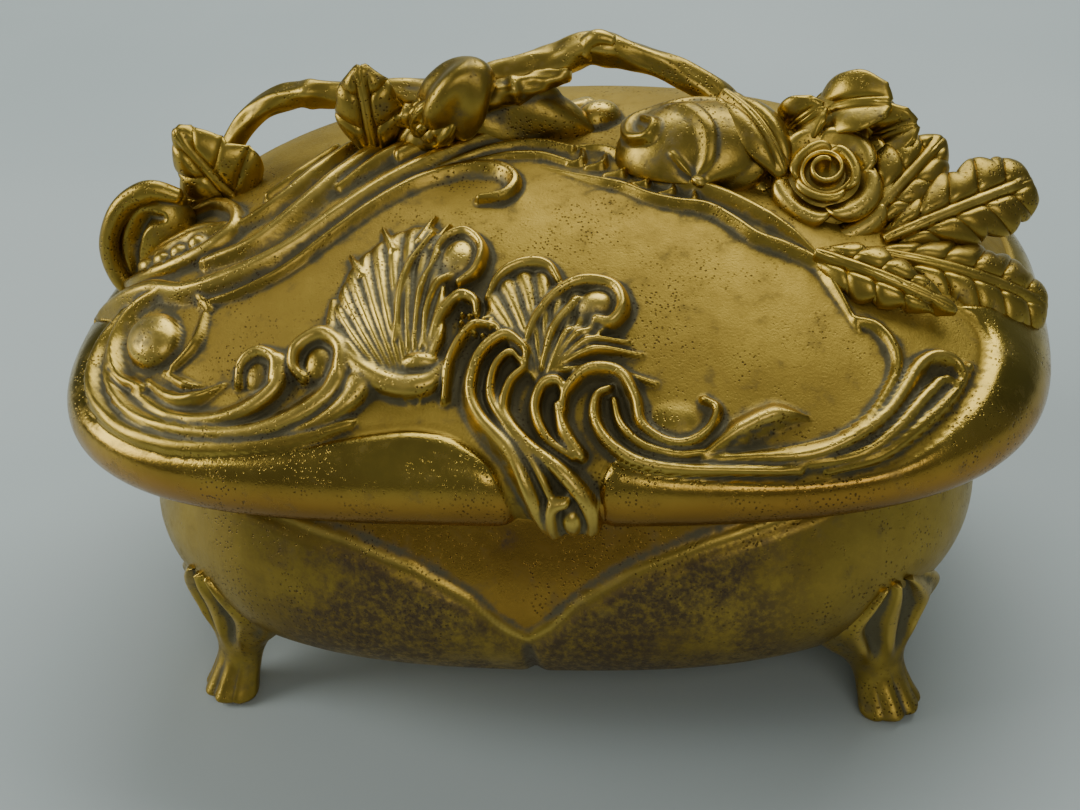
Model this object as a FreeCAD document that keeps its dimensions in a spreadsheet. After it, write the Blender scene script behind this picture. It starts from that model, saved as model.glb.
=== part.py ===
"""Vanity trinket box: a bombe casket cast in gilt spelter, with a high domed lid, four splayed
feet, a flower spray soldered along the lid's ridge, two butt hinges and a padded satin lining.

Frame: origin at the centre of the footprint on the table, +X to the right of the person who opens
the box, +Y to the hinges at the back, +Z up.  Millimetres.
"""

import FreeCAD
import Part
import math
import os

from FreeCAD import Placement, Rotation, Vector

DOC = FreeCAD.newDocument("trinket_box")

# ---------------------------------------------------------------- driving dimensions

DIMS = {
    # alias: (value, note)
    "body_bottom": (10.0, "underside of the body above the table"),
    "rim_level": (47.0, "joint line between the body and the lid"),
    "dome_top": (81.0, "highest point of the plain dome"),
    "seat_gap": (0.15, "clearance between the body's rim and the closed lid"),
    "wall": (2.2, "cast wall thickness of both shells"),
    "floor_thick": (2.5, "cast floor"),
    "ledge_thick": (2.5, "flat underside of the lid's overhanging moulding"),
    "ledge_open_w": (64.5, "half width of the opening in that underside"),
    "ledge_open_front": (45.0, "its front edge, from the centre line"),
    "ledge_open_back": (43.0, "its back edge, from the centre line"),
    "axis_back": (49.5, "hinge axis behind the centre line"),
    "hinge_offset": (32.0, "middle of each hinge from the centre line"),
    "hinge_width": (18.0, "length of one butt hinge"),
    "knuckle_rad": (2.4, "outside of the knuckles"),
    "pin_rad": (0.9, "hinge pin"),
    "pin_play": (0.05, "clearance between the pin and the lid's knuckle"),
    "knuckle_mid": (6.6, "length of the lid's middle knuckle"),
    "knuckle_gap": (0.3, "gap between neighbouring knuckles"),
    "plate_back": (1.3, "outer face of the hinge plates, in front of the axis"),
    "body_plate_back": (2.2, "outer face of the body's plate, in front of the axis"),
    "plate_rise": (3.0, "lower edge of the lid's plate above the axis"),
    "plate_drop": (2.2, "upper edge of the body's plate below the axis"),
    "plate_high": (8.5, "height of each hinge plate"),
    "rivet_rad": (0.8, "rivet shank"),
    "rivet_head_rad": (1.5, "rivet head"),
    "rivet_head_high": (0.7, "rivet head height"),
    "rivet_shank": (2.2, "rivet shank length"),
    "rivet_spread": (5.6, "each rivet from the middle of its hinge"),
    "foot_out_w": (53.5, "root of a foot, sideways from the centre"),
    "foot_out_front": (36.0, "root of a front foot, forwards from the centre"),
    "foot_out_back": (33.0, "root of a rear foot, backwards from the centre"),
    "foot_turn": (37.0, "direction in which a foot splays, degrees from the Y axis"),
    "board_thick": (1.4, "card boards under the padding"),
    "lining_gap": (0.2, "clearance of the lining from the metal"),
    "lining_thick": (2.8, "padded wall lining"),
    "lining_top": (43.4, "top of the wall lining"),
    "cord_thick": (1.9, "twisted cord that trims the lining"),
    "twig_rad": (2.0, "branch on the lid's ridge"),
    "knot_rad": (2.5, "knots of that branch"),
    "leaf_thick": (1.7, "cast leaves"),
}

SHEET = DOC.addObject("Spreadsheet::Sheet", "Dims")
for row, (alias, (value, note)) in enumerate(DIMS.items(), start=1):
    SHEET.set(f"A{row}", alias)
    SHEET.set(f"B{row}", str(value))
    SHEET.set(f"C{row}", note)
    SHEET.setAlias(f"B{row}", alias)
DOC.recompute()


def dim(alias):
    """The value of one cell of the sheet."""
    return float(SHEET.get(alias))


# ---------------------------------------------------------------- hull lines of the two shells

# Each station: height, half width, front, back, squareness of the plan (2 is an ellipse).
BODY_LINES = [
    (10.0, 52.0, -38.0, 36.0, 2.5),
    (12.0, 58.0, -43.0, 40.0, 2.6),
    (17.0, 66.0, -49.0, 45.0, 2.7),
    (23.0, 70.0, -51.8, 47.3, 2.8),
    (29.0, 71.0, -52.0, 47.8, 2.9),
    (36.0, 69.5, -50.5, 46.6, 3.0),
    (42.0, 67.3, -48.2, 45.2, 3.1),
    (47.0, 66.0, -46.5, 44.5, 3.1),
]
LID_LINES = [
    (47.0, 78.0, -50.0, 46.0, 3.2),
    (50.0, 79.8, -51.8, 47.0, 3.2),
    (54.0, 79.8, -51.8, 47.0, 3.2),
    (57.5, 77.5, -49.5, 46.5, 3.1),
    (61.0, 74.0, -45.0, 45.7, 3.0),
    (65.0, 70.0, -39.5, 44.8, 2.9),
    (70.0, 63.5, -31.5, 43.0, 2.7),
    (75.0, 54.5, -21.8, 40.5, 2.5),
    (79.0, 43.0, -11.5, 36.5, 2.3),
    (81.3, 29.0, -1.0, 31.0, 2.1),
    (82.2, 14.0, 6.0, 24.0, 2.0),
    (82.4, 3.0, 13.0, 17.0, 2.0),
]
PLAN_POINTS = 40


def fitted(lines, bottom, top):
    """The stations with their heights fitted between two driving levels."""
    low, high = lines[0][0], lines[-1][0]
    stretch = (top - bottom) / (high - low)
    return [(bottom + (line[0] - low) * stretch, *line[1:]) for line in lines]


def faired(lines, count):
    """Evenly spaced stations along smooth curves through the given ones."""
    steps = [0.0]
    for low, high in zip(lines, lines[1:]):
        steps.append(steps[-1] + math.dist(low[:4], high[:4]))
    share = [step / steps[-1] for step in steps]
    side = Part.BSplineCurve()
    side.interpolate(Points=[Vector(z, w, n) for z, w, _, _, n in lines], Parameters=share)
    ends = Part.BSplineCurve()
    ends.interpolate(Points=[Vector(f, b, z) for z, _, f, b, _ in lines], Parameters=share)
    made = []
    for k in range(count):
        height, half_width, squareness = side.value(k / (count - 1))
        front, back, _ = ends.value(k / (count - 1))
        made.append((height, half_width, front, back, squareness))
    return made


def plan_wire(height, half_width, front, back, squareness):
    """A closed rounded outline, |x/a|^n + |y/b|^n = 1, as one periodic B-spline."""
    middle = (front + back) / 2
    half_depth = (back - front) / 2
    points = []
    for k in range(PLAN_POINTS):
        turn = 2 * math.pi * (k + 0.5) / PLAN_POINTS
        c, s = math.cos(turn), math.sin(turn)
        x = half_width * math.copysign(abs(c) ** (2 / squareness), c)
        y = half_depth * math.copysign(abs(s) ** (2 / squareness), s)
        points.append(Vector(x, middle + y, height))
    curve = Part.BSplineCurve()
    curve.interpolate(Points=points, PeriodicFlag=True)
    return Part.Wire(curve.toShape())


def hull(stations):
    """A smooth closed solid through the stations."""
    return Part.makeLoft([plan_wire(*line) for line in stations], True, False)


def prism(low, high, half_width, front, back, squareness):
    """A straight solid with a rounded plan outline."""
    face = Part.Face(plan_wire(low, half_width, front, back, squareness))
    return face.extrude(Vector(0, 0, high - low))


def inset(line, side):
    """A station moved inwards by side."""
    height, half_width, front, back, squareness = line
    return (height, half_width - side, front + side, back - side, squareness)


def station_at(stations, height):
    """The hull's station at any height, between its neighbours."""
    for low, high in zip(stations, stations[1:]):
        if low[0] <= height <= high[0]:
            share = (height - low[0]) / (high[0] - low[0])
            return tuple(a + (b - a) * share for a, b in zip(low, high))
    return stations[-1]


def offset_inwards(stations, wall):
    """Stations one wall's thickness inside, measured square to the surface."""
    made = []
    for k, line in enumerate(stations):
        low, high = stations[max(k - 1, 0)], stations[min(k + 1, len(stations) - 1)]
        rise = high[0] - low[0]
        height, half_width, front, back, squareness = line
        side_run = low[1] - high[1]
        drop = wall * side_run / math.hypot(rise, side_run)
        moved = []
        for run in (side_run, high[2] - low[2], low[3] - high[3]):
            slope = math.hypot(rise, run)
            moved.append(max(0.0, wall - drop * run / slope) / max(rise / slope, 0.5))
        inside = (half_width - moved[0], front + moved[1], back - moved[2])
        made.append((height - drop, *inside, squareness))
    return made


def feature(label, shape):
    """A document object that holds a shape made here."""
    made = DOC.addObject("Part::Feature", label)
    made.Shape = shape
    made.Label = label
    return made


BODY = faired(fitted(BODY_LINES, dim("body_bottom"), dim("rim_level")), 16)
LID_LOW = dim("rim_level") + dim("seat_gap")
LID = faired(fitted(LID_LINES, LID_LOW, dim("dome_top")), 20)
BODY_SOLID = hull(BODY)
LID_SOLID = hull(LID)


def body_cavity():
    """Stations of the space inside the body's walls, from the cast floor to above the rim."""
    floor = dim("body_bottom") + dim("floor_thick")
    inside = [line for line in offset_inwards(BODY, dim("wall")) if line[0] > floor + 1.0]
    corner = 1.2
    bottom = (floor, *inset(inside[0], corner)[1:])
    top = (inside[-1][0] + 3.0, *inside[-1][1:])
    return [bottom, *inside, top]


def lid_cavity():
    """The hollow of the lid: the dome's inside and the opening in its flat underside."""
    wall = dim("wall")
    ledge = LID_LOW + dim("ledge_thick")
    inside = [line for line in offset_inwards(LID, wall)[:-2] if line[0] > ledge + 1.0]
    bottom = (ledge, *inset(inside[0], 1.0)[1:])
    opening = prism(
        LID_LOW - 1.0,
        ledge + 0.5,
        dim("ledge_open_w"),
        -dim("ledge_open_front"),
        dim("ledge_open_back"),
        3.1,
    )
    return hull([bottom, *inside]).fuse(opening)


# ---------------------------------------------------------------- small helpers for bound solids


def bind(made, label, sizes, place):
    """Labels an object, and binds its sizes and its position to the sheet."""
    made.Label = label
    for name, formula in sizes.items():
        made.setExpression(name, formula)
    for name, formula in zip("xyz", place):
        made.setExpression(f".Placement.Base.{name}", formula)
    return made


def box(label, length, width, height, place):
    """A bound Part::Box; every size is a formula on the sheet."""
    made = DOC.addObject("Part::Box", label)
    return bind(made, label, {"Length": length, "Width": width, "Height": height}, place)


def cylinder(label, radius, height, place, turn=None):
    """A bound Part::Cylinder, standing along Z unless turned."""
    made = DOC.addObject("Part::Cylinder", label)
    if turn is not None:
        made.Placement = Placement(Vector(), turn)
    return bind(made, label, {"Radius": radius, "Height": height}, place)


def fuse(label, pieces):
    """A Part::MultiFuse of document objects."""
    made = DOC.addObject("Part::MultiFuse", label)
    made.Shapes = pieces
    made.Refine = True
    made.Label = label
    return made


def cut(label, base, tools):
    """A chain of Part::Cut objects: the base less each tool in turn."""
    for k, tool in enumerate(tools):
        last = k == len(tools) - 1
        made = DOC.addObject("Part::Cut", label if last else f"{label}_less{k}")
        made.Base = base
        made.Tool = tool
        made.Label = made.Name
        base = made
    return base


ALONG_X = Rotation(Vector(0, 1, 0), 90)
ALONG_Y = Rotation(Vector(1, 0, 0), -90)
BODY_BLANK = feature("body_blank", BODY_SOLID)
LID_BLANK = feature("lid_blank", LID_SOLID)

NODES = []


def node(made):
    """Marks a document object as one sub-part of the box."""
    NODES.append(made)
    return made


# ---------------------------------------------------------------- hinges

SIDES = {"left": "-1", "right": "1"}
KNUCKLE_SIDE = "(Dims.hinge_width / 2 - Dims.knuckle_mid / 2 - Dims.knuckle_gap)"


def hinge_middle(sign):
    return f"({sign} * Dims.hinge_offset)"


def rivet_places(sign, level):
    """Formulas for the centres of the two rivets of one leaf."""
    return [
        (f"{hinge_middle(sign)} + {side} * Dims.rivet_spread", level) for side in ("-1", "1")
    ]


BODY_RIVET_LEVEL = "Dims.rim_level - Dims.plate_drop - Dims.plate_high / 2"
LID_RIVET_LEVEL = "Dims.rim_level + Dims.plate_rise + Dims.plate_high / 2"
BODY_PLATE_FACE = "Dims.axis_back - Dims.body_plate_back"
LID_PLATE_FACE = "Dims.axis_back - Dims.plate_back"


def shank(label, place, face):
    """One rivet's shank, from the plate's outer face through the plate and into the wall."""
    x, level = place
    start = f"{face} - Dims.rivet_shank - 0.2"
    length = "Dims.rivet_shank + 0.2"
    return cylinder(label, "Dims.rivet_rad", length, (x, start, level), ALONG_Y)


def rivet(label, place, face):
    """One rivet: a shank and a low round head on the plate's outer face."""
    x, level = place
    head = cylinder(
        label + "_head", "Dims.rivet_head_rad", "Dims.rivet_head_high", (x, face, level), ALONG_Y
    )
    head_round = DOC.addObject("Part::Chamfer", label + "_round")
    DOC.recompute()
    head_round.Base = head
    top = [
        k
        for k, edge in enumerate(head.Shape.Edges, start=1)
        if len(edge.Vertexes) == 1 and edge.CenterOfMass.y > float(head.Placement.Base.y) + 0.1
    ]
    head_round.Edges = [(k, 0.4, 0.4) for k in top]
    return fuse(label, [head_round, shank(label + "_shank", place, face)])


def body_leaf(side, sign):
    """The fixed leaf: a plate soldered to the back wall, carrying the two outer knuckles."""
    name = f"body_hinge_leaf_{side}"
    middle = hinge_middle(sign)
    plate = box(
        name + "_plate",
        "Dims.hinge_width",
        "5",
        "Dims.plate_high",
        (
            f"{middle} - Dims.hinge_width / 2",
            f"{BODY_PLATE_FACE} - 5",
            "Dims.rim_level - Dims.plate_drop - Dims.plate_high",
        ),
    )
    pieces = [plate]
    for k, start in enumerate(
        (f"{middle} - Dims.hinge_width / 2", f"{middle} + Dims.knuckle_mid / 2 + Dims.knuckle_gap")
    ):
        pieces.append(
            cylinder(
                f"{name}_knuckle{k}",
                "Dims.knuckle_rad",
                KNUCKLE_SIDE,
                (start, "Dims.axis_back", "Dims.rim_level"),
                ALONG_X,
            )
        )
        pieces.append(
            box(
                f"{name}_web{k}",
                KNUCKLE_SIDE,
                "Dims.knuckle_rad + 0.5",
                "4.5",
                (start, f"{BODY_PLATE_FACE} - 0.9", "Dims.rim_level - 5"),
            )
        )
    blank = fuse(name + "_blank", pieces)
    bore = cylinder(
        name + "_bore",
        "Dims.pin_rad",
        "Dims.hinge_width + 2",
        (f"{middle} - Dims.hinge_width / 2 - 1", "Dims.axis_back", "Dims.rim_level"),
        ALONG_X,
    )
    holes = [
        shank(f"{name}_hole{k}", place, BODY_PLATE_FACE)
        for k, place in enumerate(rivet_places(sign, BODY_RIVET_LEVEL))
    ]
    return node(cut(name, blank, [bore, BODY_BLANK, *holes]))


def lid_leaf(side, sign):
    """The moving leaf: a plate on the lid's back, the middle knuckle, and the heel that stops it."""
    name = f"lid_hinge_leaf_{side}"
    middle = hinge_middle(sign)
    half = "Dims.knuckle_mid / 2"
    plate = box(
        name + "_plate",
        "Dims.hinge_width",
        "5",
        "Dims.plate_high",
        (
            f"{middle} - Dims.hinge_width / 2",
            f"{LID_PLATE_FACE} - 5",
            "Dims.rim_level + Dims.plate_rise",
        ),
    )
    web = box(
        name + "_web",
        "Dims.knuckle_mid",
        "Dims.knuckle_rad",
        "Dims.plate_rise + 0.5",
        (f"{middle} - {half}", "Dims.axis_back - Dims.knuckle_rad - 0.05", "Dims.rim_level"),
    )
    knuckle = cylinder(
        name + "_knuckle",
        "Dims.knuckle_rad",
        "Dims.knuckle_mid",
        (f"{middle} - {half}", "Dims.axis_back", "Dims.rim_level"),
        ALONG_X,
    )
    blank = fuse(name + "_blank", [plate, web, knuckle, heel(name, middle, half)])
    bore = cylinder(
        name + "_bore",
        "Dims.pin_rad + Dims.pin_play",
        "Dims.knuckle_mid + 2",
        (f"{middle} - {half} - 1", "Dims.axis_back", "Dims.rim_level"),
        ALONG_X,
    )
    holes = [
        shank(f"{name}_hole{k}", place, LID_PLATE_FACE)
        for k, place in enumerate(rivet_places(sign, LID_RIVET_LEVEL))
    ]
    return node(cut(name, blank, [bore, LID_BLANK, *holes]))


OPEN_ANGLE = math.radians(100)
HEEL_DEPTH = 2.7
HEEL_PLAY = 0.12


def heel(name, middle, half):
    """A wedge on the knuckle whose tip meets the body's plate when the lid is fully open."""
    open_y = -(dim("body_plate_back") - HEEL_PLAY)
    open_z = -(HEEL_DEPTH + 0.1)
    c, s = math.cos(OPEN_ANGLE), math.sin(OPEN_ANGLE)
    tip = (open_y * c - open_z * s, open_y * s + open_z * c)
    reach = math.hypot(*tip)
    bearing = math.atan2(tip[1], tip[0])
    spread = math.acos(dim("knuckle_rad") / reach)
    rim = dim("knuckle_rad") * 0.98
    corners = [
        (0.3 * math.cos(bearing + math.pi), 0.3 * math.sin(bearing + math.pi)),
        (rim * math.cos(bearing - spread), rim * math.sin(bearing - spread)),
        tip,
        (rim * math.cos(bearing + spread), rim * math.sin(bearing + spread)),
    ]
    outline = [Vector(0, y, z) for y, z in corners]
    face = Part.Face(Part.makePolygon([*outline, outline[0]]))
    made = feature(name + "_heel", face.extrude(Vector(dim("knuckle_mid"), 0, 0)))
    bind(made, made.Label, {}, (f"{middle} - {half}", "Dims.axis_back", "Dims.rim_level"))
    return made


def hinge_pin(side, sign):
    """A plain pin, pressed in the body's knuckles, with a low head at each end."""
    name = f"hinge_pin_{side}"
    start = f"{hinge_middle(sign)} - Dims.hinge_width / 2"
    shaft = cylinder(
        name + "_shaft",
        "Dims.pin_rad",
        "Dims.hinge_width",
        (start, "Dims.axis_back", "Dims.rim_level"),
        ALONG_X,
    )
    heads = [
        cylinder(
            f"{name}_head{k}",
            "Dims.pin_rad * 1.7",
            "0.7",
            (x, "Dims.axis_back", "Dims.rim_level"),
            ALONG_X,
        )
        for k, x in enumerate((f"{start} - 0.7", f"{start} + Dims.hinge_width"))
    ]
    return node(fuse(name, [shaft, *heads]))


BODY_HOLES = []
LID_HOLES = []
for side, sign in SIDES.items():
    body_leaf(side, sign)
    lid_leaf(side, sign)
    hinge_pin(side, sign)
    for k, place in enumerate(rivet_places(sign, BODY_RIVET_LEVEL)):
        BODY_HOLES.append(shank(f"body_hole_{side}{k}", place, BODY_PLATE_FACE))
    for k, place in enumerate(rivet_places(sign, LID_RIVET_LEVEL)):
        LID_HOLES.append(shank(f"lid_hole_{side}{k}", place, LID_PLATE_FACE))


def rivets(label, level, face):
    """All rivets of one kind of leaf, as one group of separate solids."""
    made = DOC.addObject("Part::Compound", label)
    made.Label = label
    made.Links = [
        rivet(f"{label}_{side}{k}", place, face)
        for side, sign in SIDES.items()
        for k, place in enumerate(rivet_places(sign, level))
    ]
    return node(made)


rivets("body_hinge_rivets", BODY_RIVET_LEVEL, BODY_PLATE_FACE)
rivets("lid_hinge_rivets", LID_RIVET_LEVEL, LID_PLATE_FACE)

# ---------------------------------------------------------------- the two cast shells

FLOOR_TOP = dim("body_bottom") + dim("floor_thick")
CAVITY = body_cavity()
node(
    cut(
        "body_shell",
        BODY_BLANK,
        [feature("body_hollow", hull(CAVITY)), *BODY_HOLES],
    )
)
node(cut("lid_shell", LID_BLANK, [feature("lid_hollow", lid_cavity()), *LID_HOLES]))

# ---------------------------------------------------------------- feet

# Each section of a foot: height, outward shift from its root, half width, half thickness.
FOOT_SECTIONS = [
    (27.0, 4.2, 4.5, 2.0),
    (24.0, 3.2, 8.5, 2.8),
    (19.5, 1.2, 12.5, 3.8),
    (15.0, 0.2, 10.0, 4.4),
    (11.0, 0.8, 6.4, 4.0),
    (7.0, 1.9, 4.4, 3.4),
    (3.5, 3.5, 4.0, 3.3),
    (1.0, 4.9, 4.5, 3.6),
    (0.0, 5.2, 4.0, 3.1),
]


def foot(label, sign_x, sign_y, root_y):
    """A splayed foot: oval sections lofted from the body's lower corner down to a flat sole."""
    sections = []
    for k, (height, out, half_width, half_thick) in enumerate(FOOT_SECTIONS):
        oval = DOC.addObject("Part::Ellipse", f"{label}_section{k}")
        oval.MajorRadius = half_width
        oval.MinorRadius = half_thick
        oval.Placement.Base = Vector(0, out, height)
        sections.append(oval)
    blank = DOC.addObject("Part::Loft", label + "_blank")
    blank.Sections = sections
    blank.Solid = True
    blank.Ruled = False
    facing = 180 if sign_y < 0 else 0
    turn = Rotation(Vector(0, 0, 1), facing - sign_x * sign_y * dim("foot_turn"))
    blank.Placement = Placement(Vector(), turn)
    bind(blank, label + "_blank", {}, (f"{sign_x} * Dims.foot_out_w", root_y, "0"))
    return node(cut(label, blank, [BODY_BLANK]))


foot("foot_front_left", -1, -1, "-Dims.foot_out_front")
foot("foot_front_right", 1, -1, "-Dims.foot_out_front")
foot("foot_rear_left", -1, 1, "Dims.foot_out_back")
foot("foot_rear_right", 1, 1, "Dims.foot_out_back")

# ---------------------------------------------------------------- lining of the body

BOARD_TOP = FLOOR_TOP + dim("board_thick")


def floor_board():
    """The card under the cushion."""
    edge = inset(station_at(CAVITY, FLOOR_TOP), dim("lining_gap"))
    return node(feature("floor_board", prism(FLOOR_TOP, BOARD_TOP, *edge[1:])))


def wall_lining():
    """The padded satin strip that follows the inside of the wall."""
    gap = dim("lining_gap")
    outside = hull([inset(line, gap) for line in CAVITY])
    inside = hull([inset(line, gap + dim("lining_thick")) for line in CAVITY])
    slab = prism(BOARD_TOP + 0.1, dim("lining_top"), 90, -70, 70, 2.2)
    return node(feature("wall_lining", outside.cut(inside).common(slab)))


def cushion(label, side, crown, way):
    """A padded cushion: stations up its side, then a shallow crown; way is 1 for up, -1 for down."""
    reach = 24.0
    shoulder = side[-1]
    stations = list(side)
    for k in range(1, 9):
        turn = k / 8 * math.pi / 2
        height = shoulder[0] + way * crown * math.sin(turn)
        stations.append((height, *inset(shoulder, reach * (1 - math.cos(turn)))[1:]))
    return node(feature(label, hull(stations)))


def floor_pad():
    """The cushion that fills the floor inside the wall lining."""
    clear = dim("lining_gap") + dim("lining_thick") + 0.3
    heights = [BOARD_TOP + 1.3 * k for k in range(4)]
    side = [inset(station_at(CAVITY, height), clear)[1:] for height in heights]
    return cushion("floor_pad", [(z, *line) for z, line in zip(heights, side)], 4.0, 1)


def cord_ring(label, low, half_width, front, back, squareness):
    """A closed cord laid along the edge of a lining, as a plain square-section ring."""
    thick = dim("cord_thick")
    outer = prism(low, low + thick, half_width, front, back, squareness)
    inner = prism(
        low - 1,
        low + thick + 1,
        half_width - thick,
        front + thick,
        back - thick,
        squareness,
    )
    return node(feature(label, outer.cut(inner)))


floor_board()
wall_lining()
floor_pad()
CORD_LOW = dim("lining_top") + 0.05
CORD_LINE = inset(station_at(BODY, dim("rim_level")), dim("wall") + 0.25)
cord_ring("rim_cord", CORD_LOW, *CORD_LINE[1:])

# ---------------------------------------------------------------- lining of the lid

LID_BOARD_LOW = dim("rim_level") + 0.4
LID_EDGE = (
    dim("ledge_open_w") - 0.05,
    -dim("ledge_open_front") + 0.05,
    dim("ledge_open_back") - 0.05,
    3.1,
)


def lid_board():
    """The card that carries the lid's padding, held in the opening of the lid's underside."""
    high = LID_BOARD_LOW + dim("board_thick")
    return node(feature("lid_board", prism(LID_BOARD_LOW, high, *LID_EDGE)))


def lid_pad():
    """The lid's cushion: flat on its board, crowned downwards."""
    edge = inset(station_at(BODY, dim("rim_level")), dim("wall") + 3.0)[1:]
    side = [(LID_BOARD_LOW, *edge), (LID_BOARD_LOW - 0.8, *edge)]
    return cushion("lid_pad", side, 3.0, -1)


lid_board()
lid_pad()
LID_CORD_LINE = inset(station_at(BODY, dim("rim_level")), dim("wall") + 0.9)
cord_ring("lid_cord", LID_BOARD_LOW - dim("cord_thick"), *LID_CORD_LINE[1:])

# ---------------------------------------------------------------- flower spray on the lid

# The branch along the ridge: its knots, left to right.
BRANCH = [
    (-60.5, 12.0, 69.5),
    (-56.5, 13.0, 79.0),
    (-50.5, 14.0, 85.5),
    (-43.0, 14.0, 88.2),
    (-34.0, 13.0, 88.4),
    (-26.0, 12.0, 88.4),
    (-17.0, 12.0, 88.4),
    (-7.0, 13.0, 90.5),
    (2.0, 14.0, 92.5),
    (8.5, 14.5, 94.6),
    (16.0, 14.0, 92.8),
    (23.0, 13.0, 90.0),
    (29.0, 12.0, 86.0),
]


def ellipsoid(label, centre, radii, turn=None):
    """A closed egg shape; radii are along its own x, y and z."""
    made = DOC.addObject("Part::Ellipsoid", label)
    made.Label = label
    made.Radius2, made.Radius3, made.Radius1 = radii
    made.Angle1, made.Angle2, made.Angle3 = -90, 90, 360
    made.Placement = Placement(Vector(*centre), turn or Rotation())
    return made


def branch():
    """The open branch along the ridge, bridging twice, with the solid crest between its loops."""
    path = Part.BSplineCurve()
    path.interpolate(Points=[Vector(*place) for place in BRANCH])
    rings = []
    for k in range(2 * len(BRANCH) - 1):
        share = k / (2 * len(BRANCH) - 2)
        at = path.FirstParameter + share * (path.LastParameter - path.FirstParameter)
        radius = dim("knot_rad") if k % 4 == 2 else dim("twig_rad")
        ring = Part.Circle(path.value(at), path.tangent(at)[0], radius)
        rings.append(Part.Wire(ring.toShape()))
    run = feature("branch_run", Part.makeLoft(rings, True, False))
    crest = ellipsoid("branch_crest", (-11.5, 13.0, 82.0), (19.0, 5.0, 8.5))
    return node(cut("branch", fuse("branch_blank", [run, crest]), [LID_BLANK]))


def leaf(label, root, tip, facing, width, cutters):
    """A flat pointed leaf from root to tip, facing the given way, as a padded sketch."""
    body = DOC.addObject("PartDesign::Body", label + "_body")
    sketch = body.newObject("Sketcher::SketchObject", label + "_sketch")
    plane = [f for f in body.Origin.OriginFeatures if f.Role == "XY_Plane"][0]
    sketch.AttachmentSupport = (plane, [""])
    sketch.MapMode = "FlatFace"
    start, end = Vector(*root), Vector(*tip)
    length = (end - start).Length
    for sideways in (width / 2, -width / 2):
        rim = Part.Arc(Vector(0, 0, 0), Vector(length / 2, sideways, 0), Vector(length, 0, 0))
        sketch.addGeometry(rim, False)
    pad = body.newObject("PartDesign::Pad", label + "_pad")
    pad.Profile = sketch
    pad.Midplane = True
    pad.setExpression("Length", "Dims.leaf_thick")
    body.Tip = pad
    body.Placement = facing_placement(start, end - start, Vector(*facing))
    return node(cut(label, body, cutters))


def facing_placement(at, along, normal):
    """A placement at a point, its x along one direction and its z as near as can be to normal."""
    along = Vector(along).normalize()
    normal = (normal - along * normal.dot(along)).normalize()
    across = normal.cross(along)
    return Placement(
        FreeCAD.Matrix(
            along.x, across.x, normal.x, at.x,
            along.y, across.y, normal.y, at.y,
            along.z, across.z, normal.z, at.z,
            0, 0, 0, 1,
        )
    )


# Rings of the rose: petals, distance from its middle, height, petal radii, outward tilt.
ROSE_RINGS = [
    (5, 9.6, -1.0, (7.4, 5.2, 2.9), 30),
    (4, 5.8, 2.3, (5.1, 3.5, 2.4), 48),
    (3, 2.7, 3.8, (3.2, 2.4, 2.6), 65),
]


def rose():
    """An open rose head: rings of thick petals round a heart, looking up and forwards."""
    place = facing_placement(Vector(46.0, -2.0, 76.5), Vector(1, 0, 0), Vector(0.1, -0.55, 0.83))
    pieces = [ellipsoid("rose_heart", (0, 0, 0), (11.0, 11.0, 6.0))]
    for ring, (count, out, high, radii, tilt) in enumerate(ROSE_RINGS):
        for k in range(count):
            around = Rotation(Vector(0, 0, 1), 360 * (k + ring / 2) / count)
            spot = around.multVec(Vector(out, 0, high))
            lean = around.multiply(Rotation(Vector(0, 1, 0), tilt))
            petal = ellipsoid(f"rose_petal{ring}{k}", spot, (radii[1], radii[0], radii[2]), lean)
            pieces.append(petal)
    for piece in pieces:
        piece.Placement = place.multiply(piece.Placement)
    back = ellipsoid("rose_back_petal", (50.0, 9.0, 79.5), (9.0, 6.0, 9.0))
    return node(cut("rose", fuse("rose_blank", [*pieces, back]), [LID_BLANK]))


BRANCH_NODE = branch()
ROSE_NODE = rose()
PETAL = ellipsoid("outer_petal_blank", (25.5, 3.0, 80.0), (12.5, 9.5, 9.0))
node(cut("rose_outer_petal", PETAL, [LID_BLANK, ROSE_NODE, BRANCH_NODE]))

BUD_TURN = Rotation(Vector(0, 0, 1), Vector(11, -2, 12))
BUD = ellipsoid("bud_blank", (-14.5, 6.5, 89.0), (4.8, 4.8, 10.0), BUD_TURN)
BUD_NODE = node(cut("bud", BUD, [LID_BLANK, BRANCH_NODE]))

CURL_TURN = Rotation(Vector(0, 1, 0), 25)
CURL = ellipsoid("curled_leaf_blank", (-68.5, 0.5, 67.0), (6.5, 5.0, 10.0), CURL_TURN)
CURL_NODE = node(cut("curled_leaf", CURL, [LID_BLANK]))

LEAF_LEFT = ((-53.0, 5.5, 71.5), (-62.0, 7.0, 84.0))
LEAF_MIDDLE = ((-29.0, 7.0, 79.0), (-28.5, 8.5, 94.5))
LEAF_UPPER = ((53.0, -10.0, 73.5), (64.5, 4.0, 79.0))
LEAF_OUTER = ((56.0, -10.0, 72.0), (77.5, 2.0, 73.0))
LEAF_LOWER = ((54.0, -14.0, 71.5), (79.5, -11.5, 59.5))
LEAF_FRONT = ((45.0, -19.0, 74.0), (64.5, -23.5, 66.5))
leaf(
    "ivy_leaf_left", *LEAF_LEFT, (-0.2, -1.0, 0.35), 11.5, [LID_BLANK, BRANCH_NODE, CURL_NODE]
)
leaf(
    "ivy_leaf_middle", *LEAF_MIDDLE, (0.0, -1.0, 0.3), 11.0, [LID_BLANK, BRANCH_NODE, BUD_NODE]
)
UPPER = leaf("rose_leaf_upper", *LEAF_UPPER, (0.3, -0.6, 0.75), 11.0, [LID_BLANK, ROSE_NODE])
OUTER = leaf("rose_leaf_outer", *LEAF_OUTER, (0.35, -0.6, 0.7), 11.5, [LID_BLANK, ROSE_NODE, UPPER])
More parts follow.
